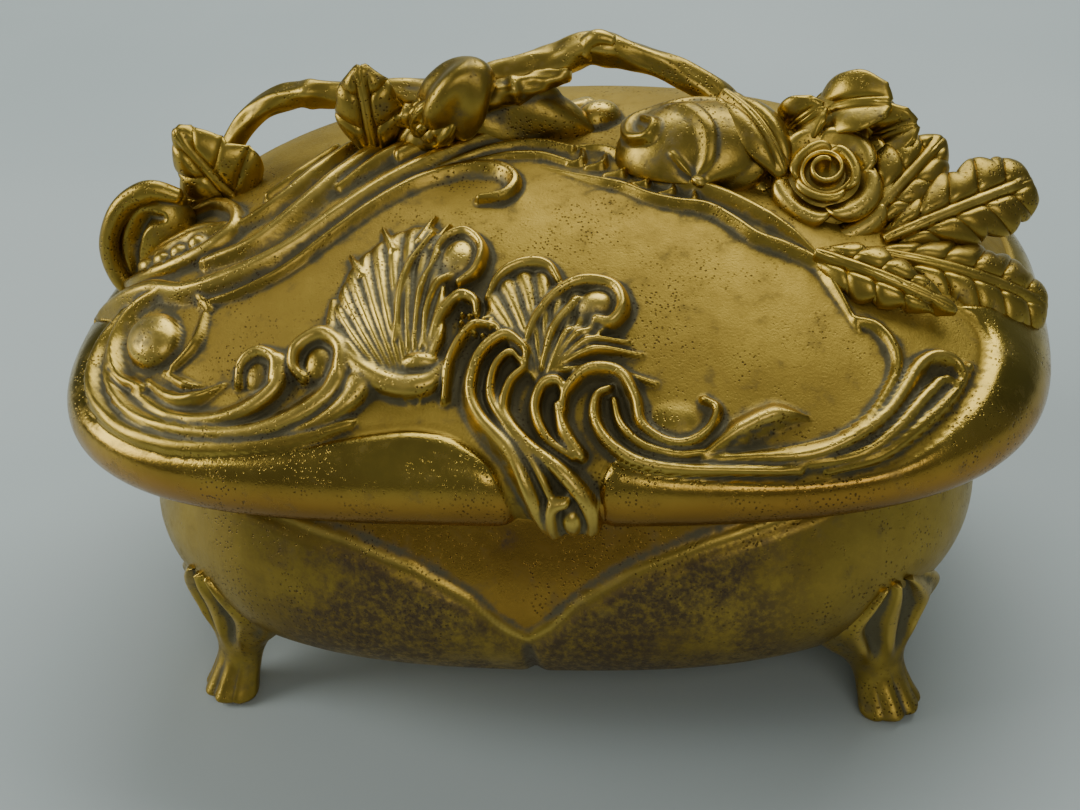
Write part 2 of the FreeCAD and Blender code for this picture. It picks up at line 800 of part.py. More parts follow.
LOWER = leaf("rose_leaf_lower", *LEAF_LOWER, (0.4, -0.5, 0.8), 10.0, [LID_BLANK, ROSE_NODE, OUTER])
leaf("rose_leaf_front", *LEAF_FRONT, (0.2, -0.7, 0.8), 8.0, [LID_BLANK, ROSE_NODE, LOWER])

# ---------------------------------------------------------------- checks and export


def check_and_write():
    """Stops if any object failed or any sub-part is unsound, then writes one STEP each."""
    DOC.recompute()
    bad = [o.Label for o in DOC.Objects if "Invalid" in o.State or "Error" in o.State]
    if bad:
        raise SystemExit(f"failed objects: {bad}")
    for made in NODES:
        shape = made.Shape
        if shape.isNull() or not shape.isValid() or not shape.Solids:
            raise SystemExit(f"{made.Label}: unsound shape")
    os.makedirs("parts", exist_ok=True)
    for old in os.listdir("parts"):
        os.remove(os.path.join("parts", old))
    for made in NODES:
        shape = made.Shape
        shape.exportStep(f"parts/{made.Label}.step")
        print(f"{made.Label:24s} solids {len(shape.Solids)}  volume {shape.Volume:9.1f}")


check_and_write()
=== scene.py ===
"""Looks of the gilt trinket box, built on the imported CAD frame.  Lengths in the tables are in
millimetres; meshes are made in metres."""

import math

import bpy
import numpy as np
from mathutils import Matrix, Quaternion, Vector
from mathutils.bvhtree import BVHTree

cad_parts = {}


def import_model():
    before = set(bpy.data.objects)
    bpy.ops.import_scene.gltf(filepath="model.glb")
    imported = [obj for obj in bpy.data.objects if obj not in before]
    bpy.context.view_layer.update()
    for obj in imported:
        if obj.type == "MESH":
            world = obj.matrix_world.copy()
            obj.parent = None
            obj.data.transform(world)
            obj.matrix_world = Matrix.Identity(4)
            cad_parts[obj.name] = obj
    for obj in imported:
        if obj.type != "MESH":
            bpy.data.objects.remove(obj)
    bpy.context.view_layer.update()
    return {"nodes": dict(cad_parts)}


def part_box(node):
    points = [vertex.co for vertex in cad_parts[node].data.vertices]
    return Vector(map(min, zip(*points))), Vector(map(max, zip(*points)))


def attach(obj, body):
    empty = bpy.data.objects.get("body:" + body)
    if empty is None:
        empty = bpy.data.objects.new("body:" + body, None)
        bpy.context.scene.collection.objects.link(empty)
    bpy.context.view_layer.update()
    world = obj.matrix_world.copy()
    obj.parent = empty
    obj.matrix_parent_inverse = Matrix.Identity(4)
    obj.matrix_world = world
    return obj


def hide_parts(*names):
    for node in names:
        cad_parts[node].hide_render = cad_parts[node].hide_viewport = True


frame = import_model()
MM = 0.001
# The relief is drawn as seen along one slanting direction, from the front and above.
LOOK_UP = math.radians(40)
LOOK = np.array([0.0, -math.cos(LOOK_UP), math.sin(LOOK_UP)])
STRAND_WIDTH = 1.18  # how much wider a strand is cast than its table says

# ------------------------------------------------------------------ small numeric tools


def smooth(x, low, high):
    """A smooth step from 0 at low to 1 at high."""
    t = np.clip((x - low) / (high - low), 0.0, 1.0)
    return t * t * (3.0 - 2.0 * t)


def curve_through(points, step=0.5):
    """A Catmull-Rom curve through the points, sampled about every step."""
    p = np.array(points, float)
    if len(p) == 2:
        p = np.vstack([p[0], p.mean(0), p[1]])
    ends = np.vstack([2 * p[0] - p[1], p, 2 * p[-1] - p[-2]])
    length = np.linalg.norm(np.diff(p, axis=0), axis=1).sum()
    per = max(3, int(length / step / (len(p) - 1)))
    out = []
    for k in range(len(p) - 1):
        a, b, c, d = ends[k : k + 4]
        t = np.linspace(0, 1, per, endpoint=False)[:, None]
        out.append(
            0.5
            * (
                2 * b
                + (c - a) * t
                + (2 * a - 5 * b + 4 * c - d) * t**2
                + (3 * b - a - 3 * c + d) * t**3
            )
        )
    return np.vstack([*out, p[-1:]])


def blur(field, sigma):
    """A Gaussian blur, sigma in cells."""
    reach = max(1, int(3 * sigma))
    kernel = np.exp(-0.5 * (np.arange(-reach, reach + 1) / sigma) ** 2)
    kernel /= kernel.sum()
    padded = np.pad(field, reach, mode="edge")
    rows = sum(k * padded[:, i : i + field.shape[1]] for i, k in enumerate(kernel))
    return sum(k * rows[i : i + field.shape[0]] for i, k in enumerate(kernel))


# ------------------------------------------------------------------ relief canvas


class Canvas:
    """A height field in millimetres over the lid, seen along one slanting direction.
    u runs to the right, w up the lid."""

    def __init__(self, low, high, step):
        self.low, self.step = np.array(low, float), step
        self.u = np.arange(low[0], high[0], step)
        self.w = np.arange(low[1], high[1], step)
        self.h = np.zeros((len(self.w), len(self.u)))

    def window(self, low, high):
        """Index ranges of the cells between two corners."""
        i0, j0 = np.maximum(((np.array(low) - self.low) / self.step).astype(int), 0)
        i1, j1 = np.maximum(((np.array(high) - self.low) / self.step).astype(int) + 2, 0)
        return slice(j0, min(j1, len(self.w))), slice(i0, min(i1, len(self.u)))

    def ridge(self, points, widths, heights, form="round"):
        """A strand along a curve.  widths are full widths and heights tops, spread evenly along it.
        form: round, soft, cone, left or right (steep on that side), cut (a groove)."""
        line = curve_through(points)
        share = np.linspace(0, 1, len(line))
        full = 1.0 if form in ("cut", "cone") else STRAND_WIDTH
        half = np.interp(share, np.linspace(0, 1, len(widths)), widths) / 2 * full
        tops = np.interp(share, np.linspace(0, 1, len(heights)), heights)
        groove = np.zeros_like(self.h)
        for k in range(len(line) - 1):
            a, b = line[k], line[k + 1]
            reach = max(half[k], half[k + 1]) + self.step
            rows, columns = self.window(np.minimum(a, b) - reach, np.maximum(a, b) + reach)
            x = self.u[columns][None, :] - a[0]
            y = self.w[rows][:, None] - a[1]
            if x.size == 0 or y.size == 0:
                continue
            d = b - a
            size = max(d @ d, 1e-9)
            t = np.clip((x * d[0] + y * d[1]) / size, 0, 1)
            away = np.hypot(x - t * d[0], y - t * d[1])
            side = np.sign(d[0] * y - d[1] * x)
            width = half[k] + (half[k + 1] - half[k]) * t
            top = tops[k] + (tops[k + 1] - tops[k]) * t
            r = np.clip(away / np.maximum(width, 1e-3), 0, 1)
            if form in ("left", "right"):
                steep = side > 0 if form == "left" else side < 0
                shape = np.where(steep, np.sqrt(1 - r**4), (1 - r) ** 1.2)
            elif form == "round":
                shape = np.sqrt(1 - r**2)
            elif form == "cone":
                shape = 1 - r
            else:
                shape = (1 - r * r) ** 2
            height = top * shape
            here = (groove if form == "cut" else self.h)[rows, columns]
            np.copyto(here, np.maximum(here, height), where=r < 1)
        self.h -= groove

    def bump(self, centre, radii, height, turn=0.0, power=0.5):
        """A round or oval boss."""
        reach = max(radii) + self.step
        rows, columns = self.window(np.array(centre) - reach, np.array(centre) + reach)
        x = self.u[columns][None, :] - centre[0]
        y = self.w[rows][:, None] - centre[1]
        c, s = math.cos(math.radians(turn)), math.sin(math.radians(turn))
        r = ((x * c + y * s) / radii[0]) ** 2 + ((y * c - x * s) / radii[1]) ** 2
        level = height * np.clip(1 - r, 0, 1) ** power
        np.maximum(self.h[rows, columns], level, out=self.h[rows, columns])

    def fan(self, root, rim, flutes, height, bend=0.0, beads=0.0, depth=0.45):
        """A fluted shell: it spreads from its root to the rim points, which go round clockwise."""
        root = np.array(root, float)
        edge = curve_through(rim, 1.0)
        d = edge - root
        angle = np.unwrap(np.arctan2(d[:, 1], d[:, 0]))
        reach = np.hypot(d[:, 0], d[:, 1])
        order = np.argsort(angle)
        low, high = np.minimum(edge.min(0), root), np.maximum(edge.max(0), root)
        rows, columns = self.window(low - 1, high + 1)
        x = self.u[columns][None, :] - root[0]
        y = self.w[rows][:, None] - root[1]
        here = np.arctan2(y, x)
        here = np.where(here < angle.min() - 0.3, here + 2 * np.pi, here)
        far = np.interp(here, angle[order], reach[order])
        s = np.hypot(x, y) / far
        lean = here + bend * s
        span = (lean - angle.min()) / (angle.max() - angle.min())
        wave = np.abs(np.sin(np.pi * flutes * span)) ** 0.7
        swell = smooth(s, 0.0, 0.25) * (0.55 + 0.45 * s) * np.sqrt(np.clip(1 - s**10, 0, 1))
        level = height * swell * (1 - depth + depth * wave)
        if beads:
            along = np.hypot(x, y) / beads
            dots = np.sin(np.pi * along) ** 2 * np.clip(1 - 2.2 * wave, 0, 1)
            level = level + 0.35 * dots * smooth(s, 0.15, 0.3) * smooth(s, 0.98, 0.9)
        inside = (s < 1) & (here >= angle.min()) & (here <= angle.max())
        block = self.h[rows, columns]
        np.copyto(block, np.maximum(block, level), where=inside)

    def sample(self, field, u, w):
        """Bilinear values of a field at points."""
        x = np.clip((u - self.low[0]) / self.step, 0, len(self.u) - 1.001)
        y = np.clip((w - self.low[1]) / self.step, 0, len(self.w) - 1.001)
        i, j = x.astype(int), y.astype(int)
        a, b = x - i, y - j
        top = field[j, i] * (1 - a) + field[j, i + 1] * a
        bottom = field[j + 1, i] * (1 - a) + field[j + 1, i + 1] * a
        return top * (1 - b) + bottom * b


def canvas_height(points):
    """How far up the canvas points lie, in millimetres."""
    return points[..., 1] * math.sin(LOOK_UP) + points[..., 2] * math.cos(LOOK_UP)


def left_scrolls(c):
    """The boss in its volute and the strands that curl along the band at the left."""
    c.ridge([(-69, 37), (-72, 31), (-70.5, 24), (-64, 18), (-54, 14.6), (-43, 14), (-33, 15),
             (-25, 17.5)], [2, 3, 3.4, 3, 2.2], [1.2, 2.0, 2.2, 1.8, 1.0], "right")
    c.ridge([(-66, 36), (-68.5, 31), (-67, 25), (-61, 19.5), (-52, 16.8), (-42, 16.2), (-35, 18),
             (-29, 22), (-27, 27)], [1.6, 2.4, 3, 3.4, 4.5], [1.0, 1.9, 2.0, 2.2, 2.4], "right")
    c.ridge([(-62, 23), (-55, 19.3), (-48, 18.2), (-42, 19.5), (-37.5, 23), (-37.2, 26.5)],
            [1.4, 2.6, 3.4, 3.4], [0.8, 1.8, 2.2, 2.3], "right")
    c.ridge([(-37.2, 24), (-37.6, 27.2), (-40.5, 28.4), (-43, 26.5), (-43.3, 23.5)],
            [2.2, 2.0, 1.8, 1.4], [2.2, 2.7, 2.6, 1.6])
    c.bump((-40.4, 25), (2.2, 2.8), 1.3)
    c.ridge([(-26.8, 25), (-27.2, 29), (-30.5, 31), (-34, 29), (-34.3, 26), (-32.6, 24.2)],
            [2.6, 2.6, 2.2, 1.5], [2.6, 3.0, 2.9, 1.6])
    c.bump((-30.4, 26.8), (2.7, 3.0), 1.7)
    c.ridge([(-37, 14.9), (-30, 17.2), (-25.3, 20.5), (-23.6, 23.4)], [1, 2, 3.2, 4.4],
            [0.8, 1.5, 2.2, 2.4])
    c.ridge([(-60, 24.5), (-55, 21.3), (-50.5, 21), (-46, 23.5)], [1.2, 2.6, 2.6, 0.8],
            [0.9, 1.7, 2.0, 0.7], "left")
    c.ridge([(-57, 26), (-53, 23.8), (-50, 23.4)], [1, 1.6, 0.6], [0.7, 1.3, 0.6])
    c.ridge([(-51.5, 36.5), (-55, 39.2), (-60.5, 39.8), (-66, 37), (-68, 31.5), (-65.5, 26),
             (-60.5, 23.6)], [1.6, 2.0, 2.2, 2.2, 1.8], [1.0, 1.8, 2.0, 2.1, 1.4], "right")
    c.ridge([(-51.8, 35.5), (-52.3, 30.5), (-55.5, 26.5)], [1.4, 1.8, 1.2], [0.9, 1.5, 1.2])
    c.bump((-60.2, 31.3), (5.0, 4.8), 3.6)
    for k in range(4):
        c.ridge([(-63.2 + k * 1.4, 33.8), (-60.5 + k * 1.2, 32.6), (-58 + k * 0.9, 30.4)],
                [0.5, 0.7, 0.4], [0.14, 0.22, 0.12], "cut")


def upper_left(c):
    """The mouldings that sweep from the ribbon's tip up to the ridge, and the strands above."""
    c.ridge([(-79, 36.5), (-73.5, 38.6), (-64, 40.3), (-56, 39.2), (-47.5, 41.4), (-39, 45.6),
             (-31.5, 52), (-25, 57.5), (-18, 62), (-9, 66.4), (0, 70.4), (6, 72.6)],
            [3, 3.4, 3.4, 3.2, 3.2, 3, 3.4, 4], [1.6, 2.2, 2.4, 2.4, 2.3, 2.3, 2.6, 3.0], "left")
    c.bump((8.4, 71.8), (3.8, 2.3), 3.3, 12)
    c.ridge([(-53, 37.2), (-46.5, 38.8), (-39, 42.4), (-32, 48.4), (-25.5, 54), (-19, 58.2),
             (-12, 60.3), (-6.5, 60.0), (-3.6, 57.6), (-4.6, 55.2), (-8.5, 54.6)],
            [1.0, 1.6, 2, 2.2, 2.4, 2.6, 1.6], [1.0, 1.5, 1.7, 1.8, 1.9, 2.2, 1.6], "left")
    c.ridge([(-17, 61), (-12, 63.2), (-6, 65), (0, 65.3), (5, 64.2)], [1.0, 1.6, 1.6, 1.4],
            [0.9, 1.5, 1.6, 1.2], "left")
    c.ridge([(-13, 62), (-6, 63.3), (0, 63.2), (5.5, 61.4)], [0.8, 1.2, 1.2, 0.9],
            [0.7, 1.2, 1.2, 0.9])
    c.ridge([(-54, 44.5), (-45, 47.6), (-38, 54), (-32.5, 60.5), (-28, 66)],
            [2.4, 3, 3.2, 2.6], [1.6, 2.2, 2.6, 2.2], "left")
    c.ridge([(-50, 51), (-43.5, 55), (-38, 60.5), (-33, 66.5)], [1.6, 2.4, 2.6, 2.0],
            [1.4, 2.0, 2.4, 2.0], "left")
    c.ridge([(-46, 57), (-41, 61), (-36, 66.5)], [1.2, 2.0, 1.4], [1.4, 1.9, 1.7], "left")
    c.ridge([(-33, 57.5), (-27, 63), (-21, 66.5), (-14, 69)], [1.4, 2.2, 2.2, 1.2],
            [1.4, 2.2, 2.4, 1.6], "left")
    c.ridge([(-24, 64), (-17, 68), (-10, 71)], [2.2, 2.8, 2], [2.2, 2.8, 2.4])
    c.ridge([(-75, 44.5), (-70, 43.6), (-62, 44.6), (-55, 47), (-50.5, 51), (-52, 55),
             (-58, 57), (-66, 54.5)], [1.6, 2.2, 2.4, 2.2, 1.6], [1.2, 2.0, 2.2, 2.1, 1.6])


def lobed_leaf(c):
    """The little leaf with a ragged lip inside its oval, at the far left."""
    spine = [(-70, 46.8), (-64, 48.6), (-58, 50.6), (-52.5, 52)]
    c.ridge(spine, [2.5, 6.5, 6.8, 2.4], [1.2, 2.2, 2.3, 1.4], "soft")
    for k, (u, w) in enumerate([(-67, 45.6), (-63.6, 46.2), (-60.3, 47.2), (-57, 48.6)]):
        c.bump((u, w), (2.1, 1.5), 2.5 - 0.05 * k, 20)
    for u, w in [(-65.4, 45.9), (-62.0, 46.7), (-58.7, 47.9)]:
        c.ridge([(u, w - 1.6), (u + 0.9, w + 1.6)], [1.0, 0.5], [1.0, 0.2], "cut")
    c.ridge(spine, [0.5, 0.7, 0.5], [0.3, 0.5, 0.3], "cut")


def first_shell(c):
    """The tall beaded shell left of the middle, with its rolled lip and smooth curled petal."""
    c.fan((-14.5, 19), [(-27.6, 30), (-29.3, 36), (-27.4, 43), (-23.4, 47.2), (-19, 49.4),
                        (-14.5, 49.2), (-12.4, 45), (-11.4, 38), (-10.8, 30)],
          12, 2.7, bend=0.10, beads=0.85, depth=0.42)
    for tip, back in [((-28.2, 44.6), (-25.2, 40.4)), ((-23.6, 49.4), (-20.8, 44.6)),
                      ((-15.2, 51.2), (-16.6, 46)), ((-12.6, 49.6), (-14.6, 44.6))]:
        c.ridge([back, tip], [2.2, 0.5], [2.6, 1.3])
    c.ridge([(-18.8, 30), (-18.6, 40), (-15, 47)], [1.4, 2.0, 1.6], [2.2, 3.0, 3.0], "right")
    c.ridge([(-15.8, 30), (-15.6, 38), (-13.4, 43.6)], [1.2, 1.8, 1.4], [2.0, 2.9, 2.9], "right")
    c.bump((-10.2, 43), (3.6, 4.4), 3.1, -25, 0.6)
    c.ridge([(-14.2, 41), (-12.9, 45.6), (-9.6, 47.2), (-6.6, 44.6), (-7, 41), (-9.6, 38.9)],
            [1.4, 1.7, 1.9, 1.8, 1.3], [2.8, 3.3, 3.5, 3.5, 2.6])
    c.ridge([(-13.6, 29), (-13.9, 34), (-12.6, 38.6), (-10.2, 40.2)], [1.2, 1.6, 1.8, 1.2],
            [2.0, 2.6, 2.8, 2.2], "left")
    c.ridge([(-29.6, 36.5), (-28.7, 31.4), (-24.6, 26.4), (-18.6, 23.2), (-13.4, 23.2),
             (-10.6, 25.8)], [1.4, 2.6, 3.4, 3.6, 2.4], [1.4, 2.2, 2.6, 2.6, 1.8])
    c.bump((-14.4, 26.4), (3.6, 1.9), 2.7, 0, 0.6)


def second_shell(c):
    """The smaller shell in the middle: hooked petal, beaded ribs, big rolled lobe, feathers."""
    c.fan((4.5, 22), [(-5.4, 34), (-4.6, 38.4), (-0.5, 41.6), (3.8, 41.2), (5.8, 38.4),
                      (9.2, 38.2), (14, 37.2), (15, 32.4)], 9, 2.4, bend=-0.12, beads=0.8,
          depth=0.5)
    c.ridge([(-4.9, 36.6), (-3.4, 40), (0, 42), (3.9, 41.7), (6, 39)], [1.2, 1.8, 2.0, 1.2],
            [2.0, 2.8, 2.9, 2.0])
    c.ridge([(1.4, 28), (2.8, 33), (6.2, 37.3), (10, 38.9), (14.4, 37.8), (15.9, 34.6),
             (14.4, 32.2), (12, 32.6)], [1.2, 1.9, 2.1, 2.3, 1.6], [2.0, 2.9, 3.3, 3.6, 2.8])
    c.bump((11.6, 35), (3.8, 2.9), 3.0, 20, 0.6)
    c.ridge([(4.5, 25.5), (6, 31), (9, 35)], [1.2, 2.2, 2.6], [1.8, 2.7, 2.9], "left")
    for end, top in [((11, 31.6), 2.6), ((14.2, 31.2), 2.7), ((17, 29.6), 2.6), ((19, 27.6), 2.3),
                     ((21.3, 23.2), 2.0)]:
        middle = (4.8 + (end[0] - 4.8) * 0.5, 25.6 + (end[1] - 24) * 0.62)
        c.ridge([(5.4, 24.6), middle, end], [1.2, 1.9, 0.7], [1.6, top, 0.9], "left")
    c.ridge([(-12.6, 27.5), (-12.3, 32.8), (-9.6, 36.8), (-6.9, 36), (-6.3, 33.8)],
            [1.6, 2.0, 2.0, 1.2], [2.0, 2.6, 2.8, 2.2])
    for k in range(5):
        for j in range(3):
            c.bump((-8.6 + k * 1.15, 33.9 - j * 1.3 - 0.25 * k), (0.5, 0.5), 2.1)


def centre_scroll(c):
    """The nested hooks under the shells, the two volutes and the drop on the rim."""
    c.ridge([(-10, 20.8), (-9.4, 27), (-6.6, 31.6), (-3.4, 31.8)], [1.6, 2.0, 2.0, 1.2],
            [1.6, 2.6, 2.8, 2.0], "left")
    c.ridge([(2, 25.6), (1.8, 28.4), (-1.6, 30.6), (-5.4, 27.6), (-6.6, 22), (-4.8, 17.4),
             (0, 12.4), (2.8, 7.6), (4.2, 4.4)], [1.4, 2.4, 2.8, 3.2, 3.2],
            [2.2, 3.2, 3.4, 3.2, 2.6], "left")
    c.ridge([(1.6, 26), (-0.6, 27.8), (-3.0, 25.4), (-3.3, 20.6), (-0.4, 15.8), (4, 10.6),
             (6.2, 7)], [1.2, 1.8, 2.2, 2.2, 2], [2.2, 3.0, 3.1, 2.9, 2.2], "left")
    c.ridge([(1.6, 25.3), (-0.4, 23), (-0.9, 18.6), (2.6, 14), (7.8, 10.4), (11.4, 7),
             (12, 4), (9, 2.6), (6.2, 3.8), (6.4, 6.4), (8.6, 7)],
            [1.4, 1.9, 2.2, 2.4, 2.4, 2.4, 1.4], [2.3, 2.8, 2.9, 2.9, 3.2, 3.4, 2.8])
    c.ridge([(9.6, 12), (5.6, 14.8), (3.7, 19), (4.6, 22.6), (6.9, 23.2), (7.8, 21.4)],
            [1.2, 1.8, 2.0, 1.9, 1.2], [2.0, 2.9, 3.1, 3.2, 2.4])
    c.ridge([(10.6, 12.4), (8.2, 15.6), (7.0, 19.6)], [2.0, 2.2, 1.4], [2.4, 3.0, 2.6])
    c.bump((9.0, 4.6), (2.0, 1.6), 3.0)
    c.ridge([(8, 18), (8.4, 21.6), (11.4, 24.6), (15.6, 24.2), (18, 20.6), (19.2, 16.6),
             (22.8, 14.2), (26.6, 14.2), (29.6, 16.4), (30.4, 19.4), (28.4, 20.9)],
            [1.6, 2.4, 2.6, 2.2, 1.8, 1.8, 1.4], [2.2, 3.0, 3.2, 2.8, 2.3, 2.4, 1.8], "left")
    c.ridge([(14.6, 22), (13, 20.8), (13, 17.6), (15, 14.4), (19, 12), (25, 11), (33, 10.9),
             (42, 11)], [1.6, 2.4, 2.4, 2.0, 1.6], [2.2, 3.0, 2.9, 2.3, 1.4], "right")
    c.ridge([(15.2, 20.6), (16.4, 16.8), (19.6, 13.9), (24.6, 12.6), (29, 13.2)],
            [1.2, 1.6, 1.6, 0.9], [1.8, 2.3, 2.1, 1.2])
    c.bump((24, 17.8), (4.6, 3.1), 0.6, 0, 1.2)


def right_scrolls(c):
    """The pointed leaf and the strands that sweep up to the flourish at the right."""
    c.ridge([(28.4, 12.6), (33.5, 16), (38.5, 18.4), (43.4, 18.2)], [1.6, 4.6, 4.6, 0.6],
            [1.2, 2.3, 2.4, 1.0], "soft")
    c.ridge([(29, 12.4), (34, 15.2), (39, 17.4), (43, 18)], [0.5, 0.8, 0.7, 0.3],
            [0.3, 0.6, 0.5, 0.2], "cut")
    for k in range(3):
        c.ridge([(32 + 3 * k, 13.4 + 1.3 * k), (34 + 3 * k, 15.9 + 1.0 * k)], [0.6, 0.4],
                [0.35, 0.2], "cut")
    c.ridge([(28.5, 12), (35, 12.1), (43.5, 12.6), (49.5, 14.8), (54.6, 18.4), (57.4, 22.4),
             (59.2, 25.6), (61.4, 27.2), (64.2, 26.6), (65.4, 24.6)],
            [1.0, 1.8, 2.4, 2.8, 2.6, 1.4], [1.0, 1.8, 2.2, 2.5, 2.6, 1.8], "left")
    c.ridge([(40, 10.9), (50.4, 12.8), (56.2, 16.6), (60, 21), (62.6, 23.6), (64.6, 23.4)],
            [1.2, 1.8, 2.4, 2.4, 1.2], [1.2, 1.8, 2.3, 2.4, 1.4], "left")
    c.ridge([(46, 10.6), (53.4, 13), (59.4, 17.4), (64, 22), (66.6, 26.5)],
            [1.0, 1.6, 2.0, 1.6], [1.0, 1.6, 1.9, 1.4])
    for u in (60.6, 62.2, 63.6):
        c.ridge([(u, 22.4), (u + 0.4, 26)], [0.5, 0.7], [0.3, 0.5], "cut")


def cartouche_edge(c):
    """The crisp lip round the right of the smooth field, and the row of crescents on top."""
    c.ridge([(50.4, 33.6), (53.4, 32.6), (55.8, 29.4), (56.3, 25.6), (54.6, 21.6), (52, 18),
             (48, 15.2), (43.5, 13.8), (36, 12.8), (29, 12.4)], [1.6, 2.0, 2.0, 1.6, 1.2, 0.9],
            [1.2, 1.7, 1.7, 1.5, 1.2, 0.8], "right")
    c.ridge([(0.4, 61.2), (5.5, 59.2), (10.3, 57.5), (14.4, 56.2), (18.4, 54.2), (23, 52.8),
             (27.5, 52), (31.5, 49.6), (35.5, 46.6), (40, 44.8), (44.5, 42.4), (47, 38.6),
             (48.8, 35.4), (50.6, 32)], [0.4, 1.4, 1.6, 1.8, 1.8, 1.6, 0.8],
            [0.2, 1.2, 1.5, 1.8, 1.9, 1.5, 0.7], "left")
    c.ridge([(4.4, 65), (10, 64.4), (14.2, 61.8), (17.6, 58.6), (21, 57), (26, 55.6),
             (31, 53.6), (36, 50.8), (41, 47.6), (44.5, 44.6)], [0.6, 1.6, 1.8, 2.2, 2.0, 0.5],
            [0.5, 1.6, 1.9, 2.1, 1.9, 0.4], "left")
    for u, w, turn in [(5.6, 62.6, 60), (9.0, 61.6, 45), (12.4, 59.8, 35), (16.4, 57.6, 30),
                       (20.6, 56, 50), (24.2, 54.4, 60)]:
        a = math.radians(turn)
        c.ridge([(u + 2.4 * math.cos(a), w + 2.0 * math.sin(a)), (u + 1.5, w - 1.0),
                 (u - 1.6 * math.cos(a), w - 1.5 * math.sin(a))], [0.9, 1.9, 0.9],
                [0.8, 1.7, 0.8], "soft")


LID_CANVAS = ((-86, -4), (86, 80), 0.2)  # low corner, high corner and cell


def draw_relief():
    """The whole relief of the lid, and how deep each point lies among its neighbours."""
    c = Canvas(*LID_CANVAS)
    for part in (left_scrolls, upper_left, lobed_leaf, first_shell, second_shell, centre_scroll,
                 right_scrolls, cartouche_edge):
        part(c)
    c.h = blur(np.maximum(c.h, -0.6), 0.7)
    c.near = blur(c.h, 3.0) - c.h
    c.wide = blur(np.maximum(c.h, 0), 9.0)
    return c


CANVAS = draw_relief()

# Upper edge of the polished band on each side of the drop, in the canvas's own directions.
BAND_LEFT = [(-72.5, 37), (-73.8, 30), (-72.6, 24), (-69, 19.8), (-63, 16.4), (-56, 14), (-49, 13),
             (-41, 13), (-32, 13.8), (-26, 15), (-20, 16), (-14.5, 16.4), (-9.5, 15.6),
             (-5.5, 13.5), (-2.3, 10.8), (-0.8, 7.5), (0, 4.5), (0.4, 0)]
BAND_RIGHT = [(12.4, 0), (12.8, 4), (13.4, 8.5), (15.2, 11.8), (18, 11.4), (22, 10.4), (28, 9.7),
              (40, 9.3), (50, 10.3), (57, 12.5), (62, 16), (65.5, 20), (68.5, 25), (69.8, 30),
              (68.8, 34), (65.5, 37)]
BAND_REACH = 8.0  # how far from its edge the band's depth is known
SIDE_BAND_TOP = 58.0  # height of the band's upper edge round the sides and the back
FAR_SIDE, FAR_BELOW = 100, -50  # corners well outside the canvas


def encloses(outline, x, y):
    """Whether points lie inside a closed outline, by counting its crossings."""
    inside = np.zeros(np.broadcast(x, y).shape, bool)
    for (ax, ay), (bx, by) in zip(outline, np.roll(outline, -1, 0)):
        if ay != by:
            cross = ax + (y - ay) * (bx - ax) / (by - ay)
            inside ^= ((ay > y) != (by > y)) & (x < cross)
    return inside


def band_depth():
    """How far each cell lies inside the polished band, in millimetres; negative outside."""
    c = Canvas(*LID_CANVAS)
    x, y = c.u[None, :], c.w[:, None]
    inside = np.zeros_like(c.h, bool)
    for edge, side in ((BAND_LEFT, -FAR_SIDE), (BAND_RIGHT, FAR_SIDE)):
        c.ridge(edge, [2 * BAND_REACH] * 2, [BAND_REACH] * 2, "cone")
        top, bottom = edge[0 if side < 0 else -1], edge[-1 if side < 0 else 0]
        corners = [(bottom[0], FAR_BELOW), (side, FAR_BELOW), (side, top[1])]
        line = curve_through(edge if side < 0 else edge[::-1])
        inside |= encloses(np.vstack([line, corners]), x, y)
    away = BAND_REACH - c.h
    return blur(np.where(inside, away, -away), 1.0)


BAND_DEPTH = band_depth()

# ------------------------------------------------------------------ meshes


def new_mesh(name, points, faces, body, slot):
    """A smooth-shaded mesh object that rides a body, from points in millimetres."""
    mesh = bpy.data.meshes.new(name)
    mesh.from_pydata((np.asarray(points, float) * MM).tolist(), [], np.asarray(faces).tolist())
    mesh.update()
    mesh.polygons.foreach_set("use_smooth", np.ones(len(mesh.polygons), bool))
    made = bpy.data.objects.new(name, mesh)
    bpy.context.scene.collection.objects.link(made)
    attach(made, body)
    return made


def grid_faces(rows, columns, wrap):
    """Quads of a grid of points, rows by columns; wrap closes it round the columns."""
    r, q = np.meshgrid(np.arange(rows - 1), np.arange(columns if wrap else columns - 1))
    r, q = r.T.ravel(), q.T.ravel()
    nxt = (q + 1) % columns
    return np.stack([r * columns + q, r * columns + nxt, (r + 1) * columns + nxt,
                     (r + 1) * columns + q], 1)


def ring_faces(rows, columns):
    """Quads of a grid that is closed round its rows and its columns."""
    faces = grid_faces(rows + 1, columns, True)
    return np.where(faces >= rows * columns, faces - rows * columns, faces)


def paint(made, name, values):
    """A float attribute on the points of a mesh."""
    attribute = made.data.attributes.new(name, "FLOAT", "POINT")
    attribute.data.foreach_set("value", np.asarray(values, np.float32).ravel())


def paint_rows(made, lips, **fields):
    """Paints fields on a grid that has one more row below, and lips more rows above, than they."""
    for name, field in fields.items():
        paint(made, name, np.concatenate([field[:1], field, field[len(field) - lips :]]))


def cad_tree(node):
    """A ray-casting tree of a CAD node, in millimetres."""
    mesh = frame["nodes"][node].data
    points = [tuple(c / MM for c in v.co) for v in mesh.vertices]
    return BVHTree.FromPolygons(points, [tuple(p.vertices) for p in mesh.polygons])


